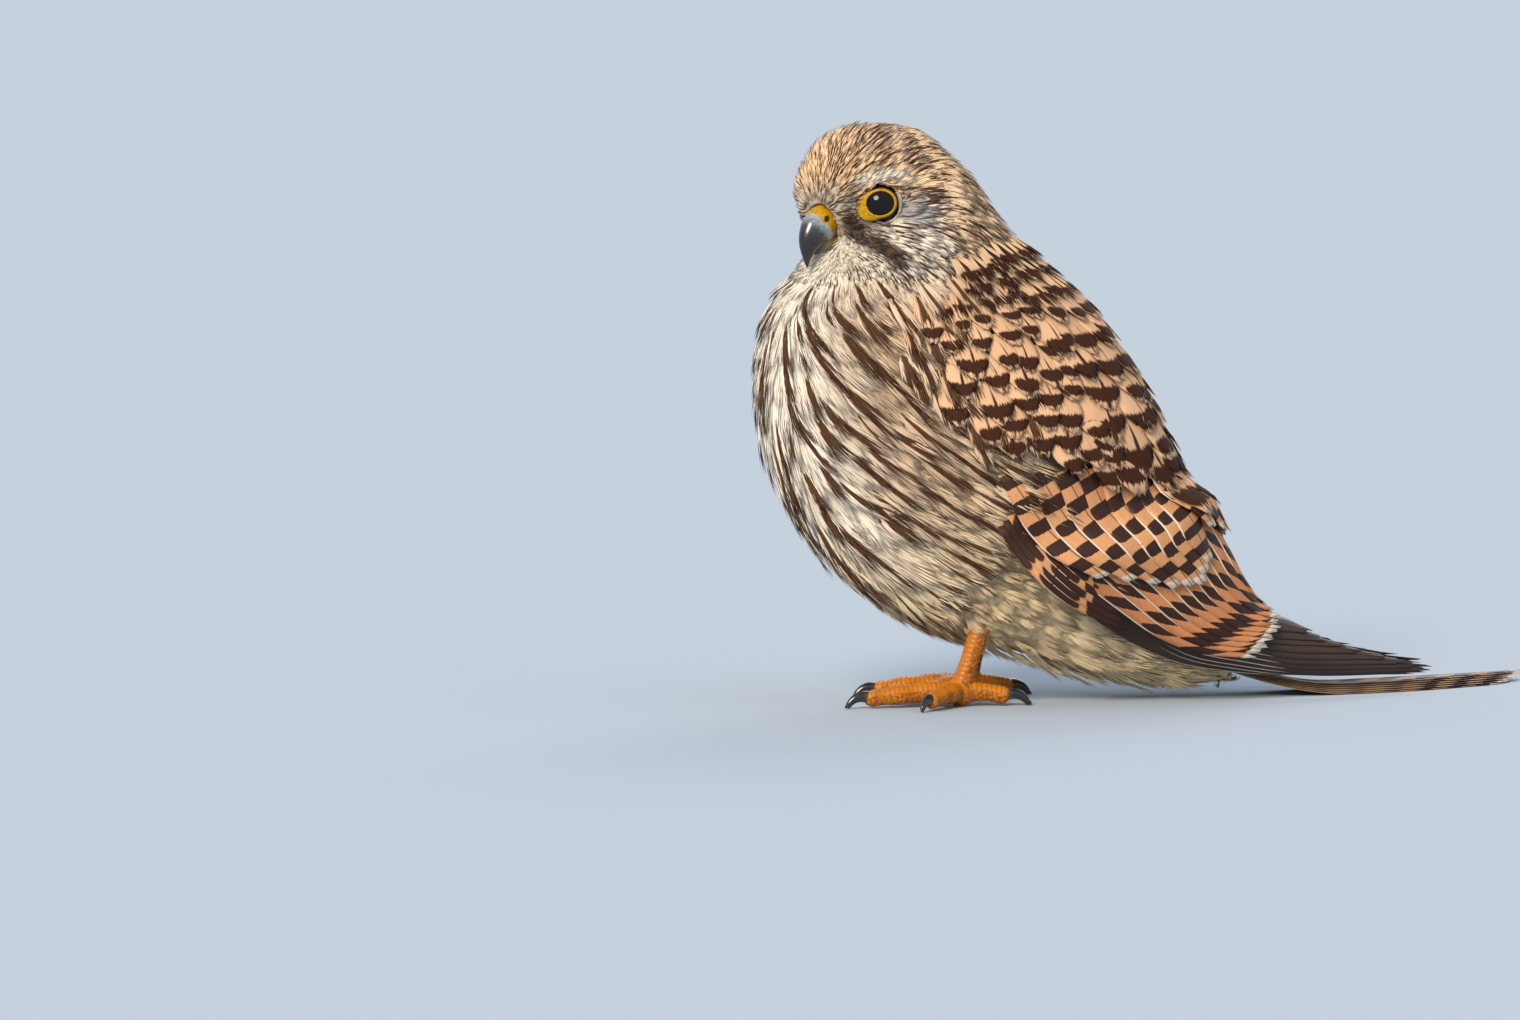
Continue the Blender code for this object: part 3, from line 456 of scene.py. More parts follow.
def add_vanes(plumage, place, feathers, half, rng, rows=10, columns=(-1, -0.62, -0.25, 0, 0.25, 0.62, 1),
              thick=0.35, camber=0.0, root_share=0.6, point=0.3, ragged=0.03, shaft=0.0, taper=0.6, reach=1.0):
    """Firm feathers, each a closed thin plate with a rounded, slightly ragged end."""
    n = len(half)
    c = np.array(columns, float)
    a = np.linspace(0.0, 1.0, rows)
    outline = root_share + (1 - root_share) * blend(0.0, 0.45, a)
    outline = outline * np.sqrt(np.maximum(0.0, 1 - blend(taper, 1.0, a) * (1 - point**2)))
    t = np.broadcast_to(reach * a[None, :, None], (n, rows, len(c))).copy()
    frayed = rng.uniform(-1.0, 1.0, (n, 1, len(c))) * ragged
    rounding = -0.5 * ragged * c**2
    t += (frayed + rounding) * blend(0.5, 1.0, a)[None, :, None]
    x = half[:, None, None] * outline[None, :, None] * c
    high = camber * (1 - c**2) * outline[:, None]
    high = high + shaft * np.maximum(0.0, 1 - np.abs(c) / 0.1) * (1 - 0.8 * a[:, None])
    lift = np.broadcast_to(high[None], t.shape)
    thin = thick / 2 * (1 - 0.5 * a)[None, :, None]
    top = np.stack((t, x, lift + thin), axis=-1).reshape(n, -1, 3)
    bottom = np.stack((t, x, lift - thin), axis=-1).reshape(n, -1, 3)
    local = np.concatenate((top, bottom), axis=1)
    points = place(local[..., 0], local[..., 1], local[..., 2])
    feathers["flip"] = handed(place, n)
    plumage.add(points, grid_faces(rows, len(c)), local[..., 1] / half[:, None], local[..., 0], feathers)


def each(values, like):
    """One value for each feather, shaped to go with arrays of its points."""
    values = np.asarray(values, float)
    return values.reshape(values.shape + (1,) * (like.ndim - values.ndim)) if values.ndim else values


def along_chart(u, degrees, side, length, slant, bend, cover, root, tip):
    """The place function of feathers that start at places of the body chart and run down it."""
    rows_mm, degrees_mm = chart_steps(u, degrees, cover(u, degrees), side)

    def place(t, x, h):
        way = each(slant, t) + each(bend, t) * t / 2
        s = each(length, t) * t
        uu = each(u, t) + (s * np.cos(way) - x * np.sin(way)) / each(rows_mm, t)
        dd = each(degrees, t) + (s * np.sin(way) + x * np.cos(way)) / each(degrees_mm, t)
        rise = each(root, t) + each(tip - root, t) * np.maximum(t, 0.0) ** 0.8
        return body_points(uu, dd, cover(uu, dd) + rise + h, each(side, t))

    return place


def wing_tier(side, count, first, last, span, half, under, shingle, crowd=1.0):
    """The place function of one tier of overlapping wing feathers, each a step lower than its upper one."""
    share = (np.arange(count) / (count - 1)) ** crowd
    start, end = (np.array(v, float) for v in zip(*(span(s) for s in share)))

    def place(t, x, h):
        u = each(start, t) + each(end - start, t) * t
        low, high = last(u), first(u)
        between = (high - low) / (count - 1)
        middle = high + (low - high) * each(share, t)
        _, degree_mm = chart_steps(u, middle, 3.0, side)
        turn = x / degree_mm
        slope = shingle / between
        rest = GAP + VANE / 2 + slope * half / degree_mm + under(u, middle + turn)
        return body_points(u, middle + turn, rest - slope * turn + h, side)

    return place


# The skin and the lie of the coat

class Surface:
    """The skin as numbers: points to grow from, and the nearest place on it."""

    def __init__(self, mesh):
        mesh.calc_loop_triangles()
        points = np.empty(len(mesh.vertices) * 3, np.float32)
        mesh.vertices.foreach_get("co", points)
        self.points = points.reshape(-1, 3).astype(float) / MM - SHIFT
        faces = np.empty(len(mesh.loop_triangles) * 3, np.int32)
        mesh.loop_triangles.foreach_get("vertices", faces)
        self.faces = faces.reshape(-1, 3)
        self.tree = BVHTree.FromPolygons(self.points.tolist(), self.faces.tolist())

    def settle(self, points):
        """The nearest places on the skin and the way out of it there."""
        found = [self.tree.find_nearest(Vector(p)) for p in points]
        return np.array([f[0] for f in found]), np.array([f[1] for f in found])

    def scatter(self, spacing, keep, rng, tries=4.0):
        """Points spread over the skin, about spacing(points) mm apart, where keep(points) is true."""
        corners = self.points[self.faces]
        normal = np.cross(corners[:, 1] - corners[:, 0], corners[:, 2] - corners[:, 0])
        middle = corners.mean(axis=1)
        area = np.linalg.norm(normal, axis=1) / 2 * keep(middle) / spacing(middle) ** 2
        total = int(area.sum() * tries)
        chosen = rng.choice(len(area), total, p=area / area.sum())
        a, b = rng.random((2, total))
        over = a + b > 1
        a[over], b[over] = 1 - a[over], 1 - b[over]
        c = corners[chosen]
        points = c[:, 0] + a[:, None] * (c[:, 1] - c[:, 0]) + b[:, None] * (c[:, 2] - c[:, 0])
        gaps = spacing(points) * 0.86
        return points[apart(points, gaps)]


def apart(points, gaps):
    """Indices of the points that keep their gap from all those taken before them."""
    size = gaps.max()
    cells, taken = {}, []
    keys = np.floor(points / size).astype(int)
    near = [(i, j, k) for i in (-1, 0, 1) for j in (-1, 0, 1) for k in (-1, 0, 1)]
    for index, (key, point, gap) in enumerate(zip(keys.tolist(), points.tolist(), gaps.tolist())):
        x, y, z = point
        limit = gap * gap
        free = True
        for i, j, k in near:
            for a, b, c in cells.get((key[0] + i, key[1] + j, key[2] + k), ()):
                if (a - x) ** 2 + (b - y) ** 2 + (c - z) ** 2 < limit:
                    free = False
                    break
            if not free:
                break
        if free:
            cells.setdefault(tuple(key), []).append((x, y, z))
            taken.append(index)
    return np.array(taken)


class Chart:
    """Finds the body section and angle nearest to any point."""

    def __init__(self):
        u, degrees, side = np.meshgrid(
            np.arange(-3.0, 13.5, 0.15), np.arange(-90.0, 91.0, 3.0), (-1.0, 1.0), indexing="ij")
        self.values = np.stack((u.ravel(), degrees.ravel(), side.ravel()), axis=1)
        points = body_points(*(self.values[:, i] for i in (0, 1)), 0.0, self.values[:, 2])
        self.tree = kdtree.KDTree(len(points))
        for i, p in enumerate(points):
            self.tree.insert(p, i)
        self.tree.balance()

    def find(self, points):
        """The section, angle and side of each point."""
        return self.values[[self.tree.find(p)[1] for p in points]]


def mix(a, b, share):
    """Colours between a and b."""
    return a + (np.asarray(b) - a) * np.asarray(share)[..., None]


def near_path(points, path):
    """How far points are from a path of straight stretches."""
    path = np.array(path, float)
    nearest = np.full(len(points), np.inf)
    for a, b in zip(path, path[1:]):
        way = b - a
        share = np.clip((points - a) @ way / (way @ way), 0.0, 1.0)
        nearest = np.minimum(nearest, np.linalg.norm(points - (a + share[:, None] * way), axis=1))
    return nearest


# Markings of the face in the head's frame: forward, aside and up. The eye stripe's path also carries painted brow
# shadow.
BROW_STRIPE = ((16.0, 12.6, 5.0), (12.4, 14.5, 6.4), (7.5, 17.8, 7.2), (1.5, 18.6, 6.2), (-5.6, 21.6, 4.0))
# The dark line over and behind the eye: partly dark feathers of the eye stripe, partly painted shadow of the brow.
EYE_STRIPE_AND_BROW_SHADOW = ((7.3, 18.0, 3.4), (4.1, 18.4, 2.6), (-1.9, 20.9, 0.6), (-8.5, 23.0, -1.5))
UNDER_EYE = ((16.5, 11.9, -8.6), (12.6, 13.9, -9.4), (9.5, 17.0, -8.4))
MOUSTACHE = ((18.0, 10.5, -7.5), (15.8, 12.0, -11.5), (13.6, 17.1, -13.9), (11.5, 20.9, -16.5), (9.9, 24.7, -21.0))
LORE_STRIPE = ((16.5, 12.0, 4.0), (18.5, 10.5, -1.0), (18.0, 10.5, -7.0))
BEHIND_EYE = ((3.4, 19.4, -2.8), (0.5, 21.5, -5.5), (-2.0, 22.5, -7.0))


def head_tint(places, colours):
    """The colour of the head's feathers and how strongly they are streaked."""
    f, l, k = places[:, 0], np.abs(places[:, 1]), places[:, 2]
    mirrored = np.stack((f, l, k), axis=1)
    tint = np.tile(colours["crown"], (len(f), 1))
    streak = np.full(len(f), 0.9)
    cheek = blend(2.5, -4.0, k) * blend(7.0, 12.0, l) * (0.25 + 0.75 * blend(-14.0, -4.0, f))
    tint = mix(tint, colours["cheek"], cheek)
    streak = streak * (1 - 0.25 * cheek)
    nape = np.maximum(blend(-10.0, -22.0, f), blend(2.0, -6.0, k) * blend(-4.0, -12.0, f))
    tint = mix(tint, colours["nape"], 0.8 * nape)
    face = blend(17.0, 21.5, f) * blend(9.0, 1.0, k)
    tint = mix(tint, colours["lore"], 0.75 * face)
    tint = mix(tint, colours["lore"], 0.9 * blend(6.5, 3.0, near_path(mirrored, ((21.0, 5.0, 0.0), (19.0, 10.0, -3.0)))))
    behind_eye = near_path(mirrored, BEHIND_EYE)
    tint = mix(tint, colours["grey"], 0.9 * blend(6.2, 2.5, behind_eye))
    streak = streak * (1 - 0.6 * blend(5.0, 2.0, behind_eye))
    brow = blend(2.8, 1.2, near_path(mirrored, BROW_STRIPE))
    tint = mix(tint, colours["brow"], brow)
    streak = streak * (1 - 0.9 * brow)
    # Dark stripe behind the eye together with painted brow shadow over the eye, in the moustache's colour.
    stripe = blend(1.9, 0.6, near_path(mirrored, EYE_STRIPE_AND_BROW_SHADOW))
    tint = mix(tint, colours["moustache"], 0.7 * blend(3.0, 1.2, near_path(mirrored, UNDER_EYE)))
    tint = mix(tint, colours["moustache"], 0.95 * stripe)
    tint = mix(tint, colours["moustache"], 0.5 * blend(2.4, 1.0, near_path(mirrored, LORE_STRIPE)))
    throat = blend(-10.5, -13.0, k) * blend(14.0, 9.0, l) * blend(-27.0, -22.0, k) * blend(2.0, 8.0, f)
    tint = mix(tint, colours["throat"], throat)
    streak = streak * (1 - 0.8 * throat)
    moustache = blend(4.4, 2.0, near_path(mirrored, MOUSTACHE))
    tint = mix(tint, colours["moustache"], 0.95 * moustache)
    return tint, streak


def body_tint(u, degrees, colours):
    """The colour of the body's feathers and how strongly they are streaked."""
    tint = np.tile(colours["breast"], (len(u), 1))
    streak = np.full(len(u), 1.0)
    flank = blend(-55.0, -20.0, degrees) * blend(0.0, 2.0, u)
    tint = mix(tint, colours["flank"], 0.8 * flank)
    low = blend(4.0, 7.5, u)
    tint = mix(tint, colours["belly"], low)
    streak = streak * (0.65 + 0.35 * blend(0.5, 1.8, u)) * (1 - 0.4 * low) * (1 - 0.8 * blend(6.0, 8.5, u))
    streak = streak * (1 - 0.35 * blend(2.5, 4.0, u) * blend(-50.0, -20.0, degrees))
    tint = mix(tint, colours["vent"], blend(9.0, 11.0, u) * 0.7)
    back = blend(0.0, 30.0, degrees)
    tint = mix(tint, colours["nape"], back * (1 - blend(0.0, 1.2, u)))
    tint = mix(tint, colours["mantle"], back * blend(0.0, 1.2, u) * (1 - blend(6.5, 9.0, u)))
    tint = mix(tint, colours["rump"], back * blend(6.5, 9.0, u))
    return tint, streak


def head_share(points):
    """How far points belong to the head rather than the body."""
    return blend(-27.0, -20.0, in_head(points)[:, 2])


def coat_look(points, chart, colours):
    """Tint and streak for points of the skin."""
    u, degrees, _ = chart.find(points).T
    head = head_share(points)
    of_head, head_streak = head_tint(in_head(points), colours)
    of_body, body_streak = body_tint(u, degrees, colours)
    tint = of_body * (1 - head[:, None]) + of_head * head[:, None]
    return tint, body_streak * (1 - head) + head_streak * head


def lie_of_coat(points, normals, places, head):
    """The way that feathers lie at points of the skin."""
    u, degrees, side = places.T
    down = unit(body_points(u + 0.2, degrees, 0.0, side) - body_points(u - 0.2, degrees, 0.0, side))
    to_back = unit(body_points(u, degrees + 2.0, 0.0, side) - body_points(u, degrees - 2.0, 0.0, side))
    flank = blend(-78.0, -42.0, degrees) * (1 - blend(10.0, 35.0, degrees))
    lift = 0.75 * flank * blend(0.4, 1.6, u) * (1 - 0.65 * blend(4.0, 7.5, u))
    down = unit(down + to_back * lift[:, None])
    at = in_head(points)
    f, l, k = at.T
    away = unit(at - np.array((24.0, 0.0, -4.0)))
    away[:, 2] -= 1.3 * blend(-4.0, -26.0, f) + 0.7 * blend(-4.0, -16.0, k)
    away[:, 0] -= 0.4 * blend(0.0, -14.0, k)
    way = down * (1 - head[:, None]) + (away @ HEAD_AXES.T) * head[:, None]
    way = way - normals * np.einsum("ij,ij->i", way, normals)[:, None]
    return unit(way)


def lie_at(points, normals, chart):
    """The way that feathers lie at points of the skin, with their places on the chart."""
    places = chart.find(points)
    return lie_of_coat(points, normals, places, head_share(points)), places


def seen_look(surface, chart, roots, length):
    """Tint and streak of feathers by where their tips show, with their roots' places and ways."""
    point, normal = surface.settle(roots)
    way, places = lie_at(point, normal, chart)
    tint, streak = coat_look(roots + way * (0.6 * length)[:, None], chart, named_colours())
    return tint, streak, places, way


def along_skin(surface, chart, roots, length, root, tip, turn=None, steps=4, cover=None):
    """The place function of feathers that start at points of the skin and follow its lie."""
    point, normal = surface.settle(roots)
    spine, out = [point], [normal]
    for _ in range(steps - 1):
        way, _ = lie_at(point, normal, chart)
        if turn is not None:
            way = unit(way + np.cross(normal, way) * turn[:, None])
        point, normal = surface.settle(point + way * (length / (steps - 1))[:, None])
        spine.append(point)
        out.append(normal)
    spine, out = np.stack(spine, axis=1), np.stack(out, axis=1)
    out[:, 1:-1] = unit(out[:, :-2] + out[:, 1:-1] + out[:, 2:])
    forward = unit(np.gradient(spine, axis=1))
    beside = unit(np.cross(out, forward))
    rise = np.linspace(0.0, 1.0, steps) ** 0.8
    height = root[:, None] + (tip - root)[:, None] * rise
    if cover is not None:
        height = height + cover(spine)
    spine = spine + out * height[..., None]

    def place(t, x, h):
        at = np.clip(t, 0.0, 1.0) * (steps - 1)
        low = np.minimum(at.astype(int), steps - 2)
        part = (at - low)[..., None]
        row = np.arange(len(spine)).reshape((-1,) + (1,) * (t.ndim - 1))
        middle = spine[row, low] * (1 - part) + spine[row, low + 1] * part
        over = out[row, low] * (1 - part) + out[row, low + 1] * part
        aside = beside[row, low] * (1 - part) + beside[row, low + 1] * part
        return middle + aside * x[..., None] + over * h[..., None]

    return place


def flow_lines(surface, chart, seeds, step, gap, keep):
    """Places in lines down the lie of the coat, step mm apart, where the lines keep gap mm from each other."""
    point, normal = surface.settle(seeds)
    traced = []
    for _ in range(26):
        traced.append(point)
        way, _ = lie_at(point, normal, chart)
        point, normal = surface.settle(point + way * step)
    traced = np.stack(traced, axis=1)
    inside = keep(traced.reshape(-1, 3)).reshape(traced.shape[:2])
    taken = np.full((1, 3), 1e6)
    for line, wanted in zip(traced, inside):
        free = wanted & (np.linalg.norm(line[:, None] - taken[None], axis=2).min(axis=1) > gap)
        end = len(free) if free.all() else int(np.argmin(free))
        if end > 1:
            taken = np.concatenate((taken, line[:end]))
    return taken[1:]


def ring_place(u, degrees, side):
    """Where a place of the chart lies on its unwrap, for the bake map."""
    angle = np.where(side < 0, degrees, 180.0 - degrees)
    return np.stack(((angle + 95.0) / 380.0, (u + 3.5) / 20.0), axis=-1)


def head_place(points):
    """Where a point of the head lies on the head's unwrap, for the bake map."""
    at = unit(in_head(points) - np.array((-4.0, 0.0, -2.0)))
    round_it = np.arctan2(at[:, 1], -at[:, 2])
    return np.stack((0.5 + 0.48 * round_it / math.pi, 0.5 + 0.48 * np.arcsin(at[:, 0]) / (math.pi / 2)), axis=-1)


# Settings

def length_property(name, description, default):
    return bpy.props.FloatProperty(name=name, description=description, default=default, unit="LENGTH")


def colour_property(name, description, code):
    return bpy.props.FloatVectorProperty(
        name=name, description=description, default=linear(code), subtype="COLOR", size=3, min=0.0, max=1.0)


class CoatSettings(bpy.types.PropertyGroup):
    """Depths, lengths and colours of the soft feathers."""

    body_depth: length_property("Body coat depth", "How far the skin lies inside the solids", 0.0028)
    head_depth: length_property("Head coat depth", "How far the head's skin lies inside the solids", 0.0011)
    body_spacing: length_property("Body spacing", "Distance between the roots of body feathers", 0.0040)
    head_spacing: length_property("Head spacing", "Distance between the roots of crown feathers", 0.0018)
    crown: colour_property("Crown", "Warm buff of the crown", "#EDC8A0")
    brow: colour_property("Brow", "Whitish line over the eye", "#E9DDC8")
    lore: colour_property("Lore", "Grey-buff between bill and eye", "#C4B39D")
    cheek: colour_property("Cheek", "Cream of the cheek", "#E6D6C0")
    grey: colour_property("Face grey", "Blue-grey behind the eye", "#9A9490")
    moustache: colour_property("Moustache", "Dark stripe below the eye", "#453730")
    throat: colour_property("Throat", "Yellowish cream of chin and throat", "#E9DCC8")
    nape: colour_property("Nape", "Grey-brown of the nape", "#D6B590")
    breast: colour_property("Breast", "Cream of the breast", "#F0E4D2")
    flank: colour_property("Flank", "Warm buff of the flanks", "#D2B08B")
    belly: colour_property("Belly", "Buff of the belly", "#DFC8A0")
    vent: colour_property("Vent", "Grey-buff round the legs", "#CCB78F")
    mantle: colour_property("Mantle", "Peach-orange of the back", "#D0A27B")
    rump: colour_property("Rump", "Greyish brown of the rump", "#A88463")
    dash: colour_property("Dash", "Dark brown of the fine dashes of the head", "#5E3E27")
    streak: colour_property("Streak", "Brown of the shaft streaks of breast and flanks", "#573B27")
    blotch: colour_property("Blotch", "Blackish brown of the blotches of the back", "#3C2115")


class WingSettings(bpy.types.PropertyGroup):
    """Colours of the wing and tail feathers."""

    covert: colour_property("Covert", "Rufous of the greater coverts", "#C48B5E")
    tertial: colour_property("Tertial", "Rufous of the tertials", "#BE7C4E")
    bar: colour_property("Bar", "Dark brown bars", "#331A0F")
    edge: colour_property("Edge", "Cream of edges and tips", "#E6D3BC")
    primary: colour_property("Primary", "Dark brown of the primaries", "#3A2D26")
    tail: colour_property("Tail", "Rufous brown of the tail", "#8E6E50")
    tail_under: colour_property("Tail underside", "Pale olive grey under the tail", "#9A907A")


class BareSettings(bpy.types.PropertyGroup):
    """Colours of bill, eyes and feet."""

    bill_base: colour_property("Bill base", "Blue-grey of the bill's base", "#7E868C")
    bill_tip: colour_property("Bill tip", "Black of the bill's tip", "#1B1816")
    cere: colour_property("Cere", "Yellow of cere and eye ring", "#BE8D08")
    leg: colour_property("Leg", "Orange-yellow of the legs", "#BC7212")
    claw: colour_property("Claw", "Black of the claws", "#1E1A18")
    eye: colour_property("Eye", "Brown-black of the eye", "#120C09")


class StageSettings(bpy.types.PropertyGroup):
    """The floor, the light and the camera."""

    azimuth: bpy.props.FloatProperty(
        name="Azimuth", description="Camera angle round the bird", default=math.radians(-15.0), subtype="ANGLE")
    elevation: bpy.props.FloatProperty(
        name="Elevation", description="Camera angle above level", default=math.radians(3.0), subtype="ANGLE")
    distance: length_property("Distance", "From the camera to the bird", 1.8)
    backdrop: colour_property("Backdrop", "Plain pale backdrop, which the floor is toned to match", "#C6D1DE")


def named_colours():
    """The coat's colours by name, as arrays."""
    coat = bpy.context.scene.kestrel_coat
    names = ("crown", "brow", "lore", "cheek", "grey", "moustache", "throat", "nape", "breast", "flank",
             "belly", "vent", "mantle", "rump")
    return {name: np.array(getattr(coat, name)) for name in names}


# Finishes

def feather_inputs(tree):
    """What every feather finish reads: across from the shaft, signed and plain, along, tint and marks."""
    places = put(tree, "SeparateXYZ", {0: put(tree, "UVMap", uv_map="vane").outputs["UV"]})
    signed = put(tree, "Math", {0: places.outputs["X"], 1: 2.0, 2: -1.0}, operation="MULTIPLY_ADD").outputs[0]
    across = put(tree, "Math", {0: signed}, operation="ABSOLUTE").outputs[0]
    tint = put(tree, "Attribute", attribute_name="tint").outputs["Color"]
    marks = put(tree, "SeparateColor", {0: put(tree, "Attribute", attribute_name="mark").outputs["Color"]})
    return signed, across, places.outputs["Y"], tint, marks.outputs


def barbs(tree, across, along, seed, fineness, lean, length):
    """Fine streaks of barbs that lean from the shaft towards the tip."""
    leaning = put(tree, "Math", {0: across, 1: -lean, 2: along}, operation="MULTIPLY_ADD").outputs[0]
    fine = put(tree, "Math", {0: leaning, 1: fineness}, operation="MULTIPLY").outputs[0]
    slow = put(tree, "Math", {0: across, 1: length}, operation="MULTIPLY").outputs[0]
    apart_by = put(tree, "Math", {0: seed, 1: 57.0}, operation="MULTIPLY").outputs[0]
    where = put(tree, "CombineXYZ", {0: fine, 1: slow, 2: apart_by}).outputs[0]
    return put(tree, "TexNoise", {"Vector": where, "Scale": 1.0, "Detail": 3.0, "Roughness": 0.6}).outputs["Fac"]


def mix_colour(tree, factor, a, b, blend_type="MIX"):
    """A Mix node's inputs by number are the same for every mix of colours."""
    inputs = {0: factor, 6: a if not isinstance(a, tuple) else (*a, 1.0), 7: b if not isinstance(b, tuple) else (*b, 1.0)}
    return put(tree, "Mix", inputs, data_type="RGBA", blend_type=blend_type, clamp_factor=True).outputs[2]


def finish_feather(tree, shader, colour, strands, depth):
    """Shades the colour by its strands, and gives them relief."""
    level = put(tree, "MapRange", {0: strands, 3: 0.74, 4: 1.22}).outputs[0]
    shade = put(tree, "CombineColor", {0: level, 1: level, 2: level}).outputs[0]
    shaded = mix_colour(tree, 1.0, colour, shade, "MULTIPLY")
    tree.links.new(shaded, shader.inputs["Base Color"])
    relief = put(tree, "Bump", {"Strength": 0.5, "Distance": depth, "Height": strands})
    tree.links.new(relief.outputs[0], shader.inputs["Normal"])


def soft_feather_finish(name, streak_stops, dark_colour, blotches=(), tip_share=0.35, fray=1.8):
    """Loose keratin barbs, matt and silky: the light breaks up on fine strands, and pales at the tips.

    The marks are a shaft streak of a half width along the feather, in red, and rounded blotches across it of
    the half width in green. Each blotch is its middle along the feather and its half length.
    """
    wing = bpy.context.scene.kestrel_wing
    coat = bpy.context.scene.kestrel_coat
    tree, shader, material = new_material(name, rough=0.8, ior=1.4, specular=0.15)
    signed, across, along, tint, marks = feather_inputs(tree)
    strands = barbs(tree, signed, along, marks["Blue"], 2.5, 0.0, 14.0)
    stray = put(tree, "Math", {0: strands, 1: -0.5}, operation="ADD").outputs[0]
    half = put(tree, "Math", {0: ramp(tree, along, streak_stops), 1: marks["Red"]}, operation="MULTIPLY").outputs[0]
    frayed = put(tree, "Math", {0: stray, 1: fray, 2: 1.0}, operation="MULTIPLY_ADD").outputs[0]
    half = put(tree, "Math", {0: half, 1: frayed}, operation="MULTIPLY").outputs[0]
    outside = put(tree, "Math", {0: across, 1: half}, operation="SUBTRACT").outputs[0]
    dark = put(tree, "MapRange", {0: outside, 1: -0.09, 2: 0.0, 3: 1.0, 4: 0.0},
               interpolation_type="SMOOTHSTEP").outputs[0]
    wide = put(tree, "Math", {0: marks["Green"], 1: 0.01}, operation="MAXIMUM").outputs[0]
    aside = put(tree, "Math", {0: across, 1: wide}, operation="DIVIDE").outputs[0]
    aside = put(tree, "Math", {0: aside, 1: 3.0}, operation="POWER").outputs[0]
    bowed = put(tree, "Math", {0: across, 1: across}, operation="MULTIPLY").outputs[0]
    bowed = put(tree, "Math", {0: bowed, 1: 0.12, 2: along}, operation="MULTIPLY_ADD").outputs[0]
    bowed = put(tree, "Math", {0: stray, 1: 0.2, 2: bowed}, operation="MULTIPLY_ADD").outputs[0]
    bowed = put(tree, "Math", {0: marks["Blue"], 1: -0.12, 2: bowed}, operation="MULTIPLY_ADD").outputs[0]
    for middle, reach in blotches:
        off = put(tree, "Math", {0: bowed, 1: 1.0 / reach, 2: -middle / reach}, operation="MULTIPLY_ADD").outputs[0]
        off = put(tree, "Math", {0: off, 1: off}, operation="MULTIPLY").outputs[0]
        off = put(tree, "Math", {0: off, 1: aside}, operation="ADD").outputs[0]
        blotch = put(tree, "MapRange", {0: off, 1: 0.8, 2: 1.25, 3: 1.0, 4: 0.0}).outputs[0]
        dark = put(tree, "Math", {0: dark, 1: blotch}, operation="MAXIMUM").outputs[0]
    base = put(tree, "MapRange", {0: along, 1: 0.05, 2: 0.4, 3: 0.22, 4: 0.0}).outputs[0]
    colour = mix_colour(tree, base, tint, tuple(coat.vent))
    colour = mix_colour(tree, dark, colour, tuple(dark_colour))
    tip = put(tree, "MapRange", {0: along, 1: 0.82, 2: 1.0, 3: 0.0, 4: tip_share}).outputs[0]
    colour = mix_colour(tree, tip, colour, tuple(wing.edge))
    finish_feather(tree, shader, colour, strands, 0.0002)
    return material


def firm_feather_finish(name, bars=0.0, duty=0.5, lean=0.0, edge=0.1, tip=0.04, edge_both=False, rough=0.5):
    """Zipped keratin vanes, smooth and faintly glossy, with crisp rounded bars, a dark shaft and pale edges.

    The number of bars, the share of each that is dark, how far they lean forward across the vane, and the
    widths of the pale edge and tip. The exposed side of a folded wing's feather is the one towards 0.
    """
    wing = bpy.context.scene.kestrel_wing
    tree, shader, material = new_material(name, rough=rough, ior=1.5, specular=0.25)
    signed, across, along, tint, marks = feather_inputs(tree)
    strands = barbs(tree, across, along, marks["Blue"], 70.0, 0.18, 3.0)
    stray = put(tree, "Math", {0: strands, 1: -0.5}, operation="ADD").outputs[0]
    square = put(tree, "Math", {0: across, 1: across}, operation="MULTIPLY").outputs[0]
    colour = tint
    if bars:
        phase = put(tree, "Math", {0: along, 1: bars, 2: marks["Green"]}, operation="MULTIPLY_ADD").outputs[0]
        phase = put(tree, "Math", {0: signed, 1: lean, 2: phase}, operation="MULTIPLY_ADD").outputs[0]
        phase = put(tree, "Math", {0: stray, 1: 0.10, 2: phase}, operation="MULTIPLY_ADD").outputs[0]
        wave = put(tree, "Math", {0: phase}, operation="FRACT").outputs[0]
        off = put(tree, "Math", {0: wave, 1: 2.0 / duty, 2: -1.0 / duty}, operation="MULTIPLY_ADD").outputs[0]
        off = put(tree, "Math", {0: off, 1: off}, operation="MULTIPLY").outputs[0]
        off = put(tree, "Math", {0: off, 1: off}, operation="MULTIPLY").outputs[0]
        round_it = put(tree, "Math", {0: square, 1: 3.0}, operation="POWER").outputs[0]
        off = put(tree, "Math", {0: round_it, 1: 1.6, 2: off}, operation="MULTIPLY_ADD").outputs[0]
        bar = put(tree, "MapRange", {0: off, 1: 0.85, 2: 1.2, 3: 1.0, 4: 0.0}).outputs[0]
        bar = put(tree, "Math", {0: bar, 1: marks["Red"]}, operation="MULTIPLY").outputs[0]
        colour = mix_colour(tree, bar, colour, tuple(wing.bar))
    if tip:
        end = put(tree, "Math", {0: square, 1: 0.05, 2: along}, operation="MULTIPLY_ADD").outputs[0]
        end = put(tree, "Math", {0: stray, 1: 0.02, 2: end}, operation="MULTIPLY_ADD").outputs[0]
        colour = mix_colour(tree, ramp(tree, end, ((1.0 - tip, 0.0), (1.0 - tip * 0.7, 1.0))), colour, tuple(wing.edge))
    if edge:
        outer = across if edge_both else put(tree, "Math", {0: signed, 1: -1.0}, operation="MULTIPLY").outputs[0]
        rim = ramp(tree, outer, ((1.0 - edge, 0.0), (1.0 - edge * 0.7, 0.9)))
        colour = mix_colour(tree, rim, colour, tuple(wing.edge))
    shaft = ramp(tree, across, ((0.03, 0.7), (0.06, 0.0)))
    colour = mix_colour(tree, shaft, colour, tuple(wing.bar))
    finish_feather(tree, shader, colour, strands, 0.0001)
    return material


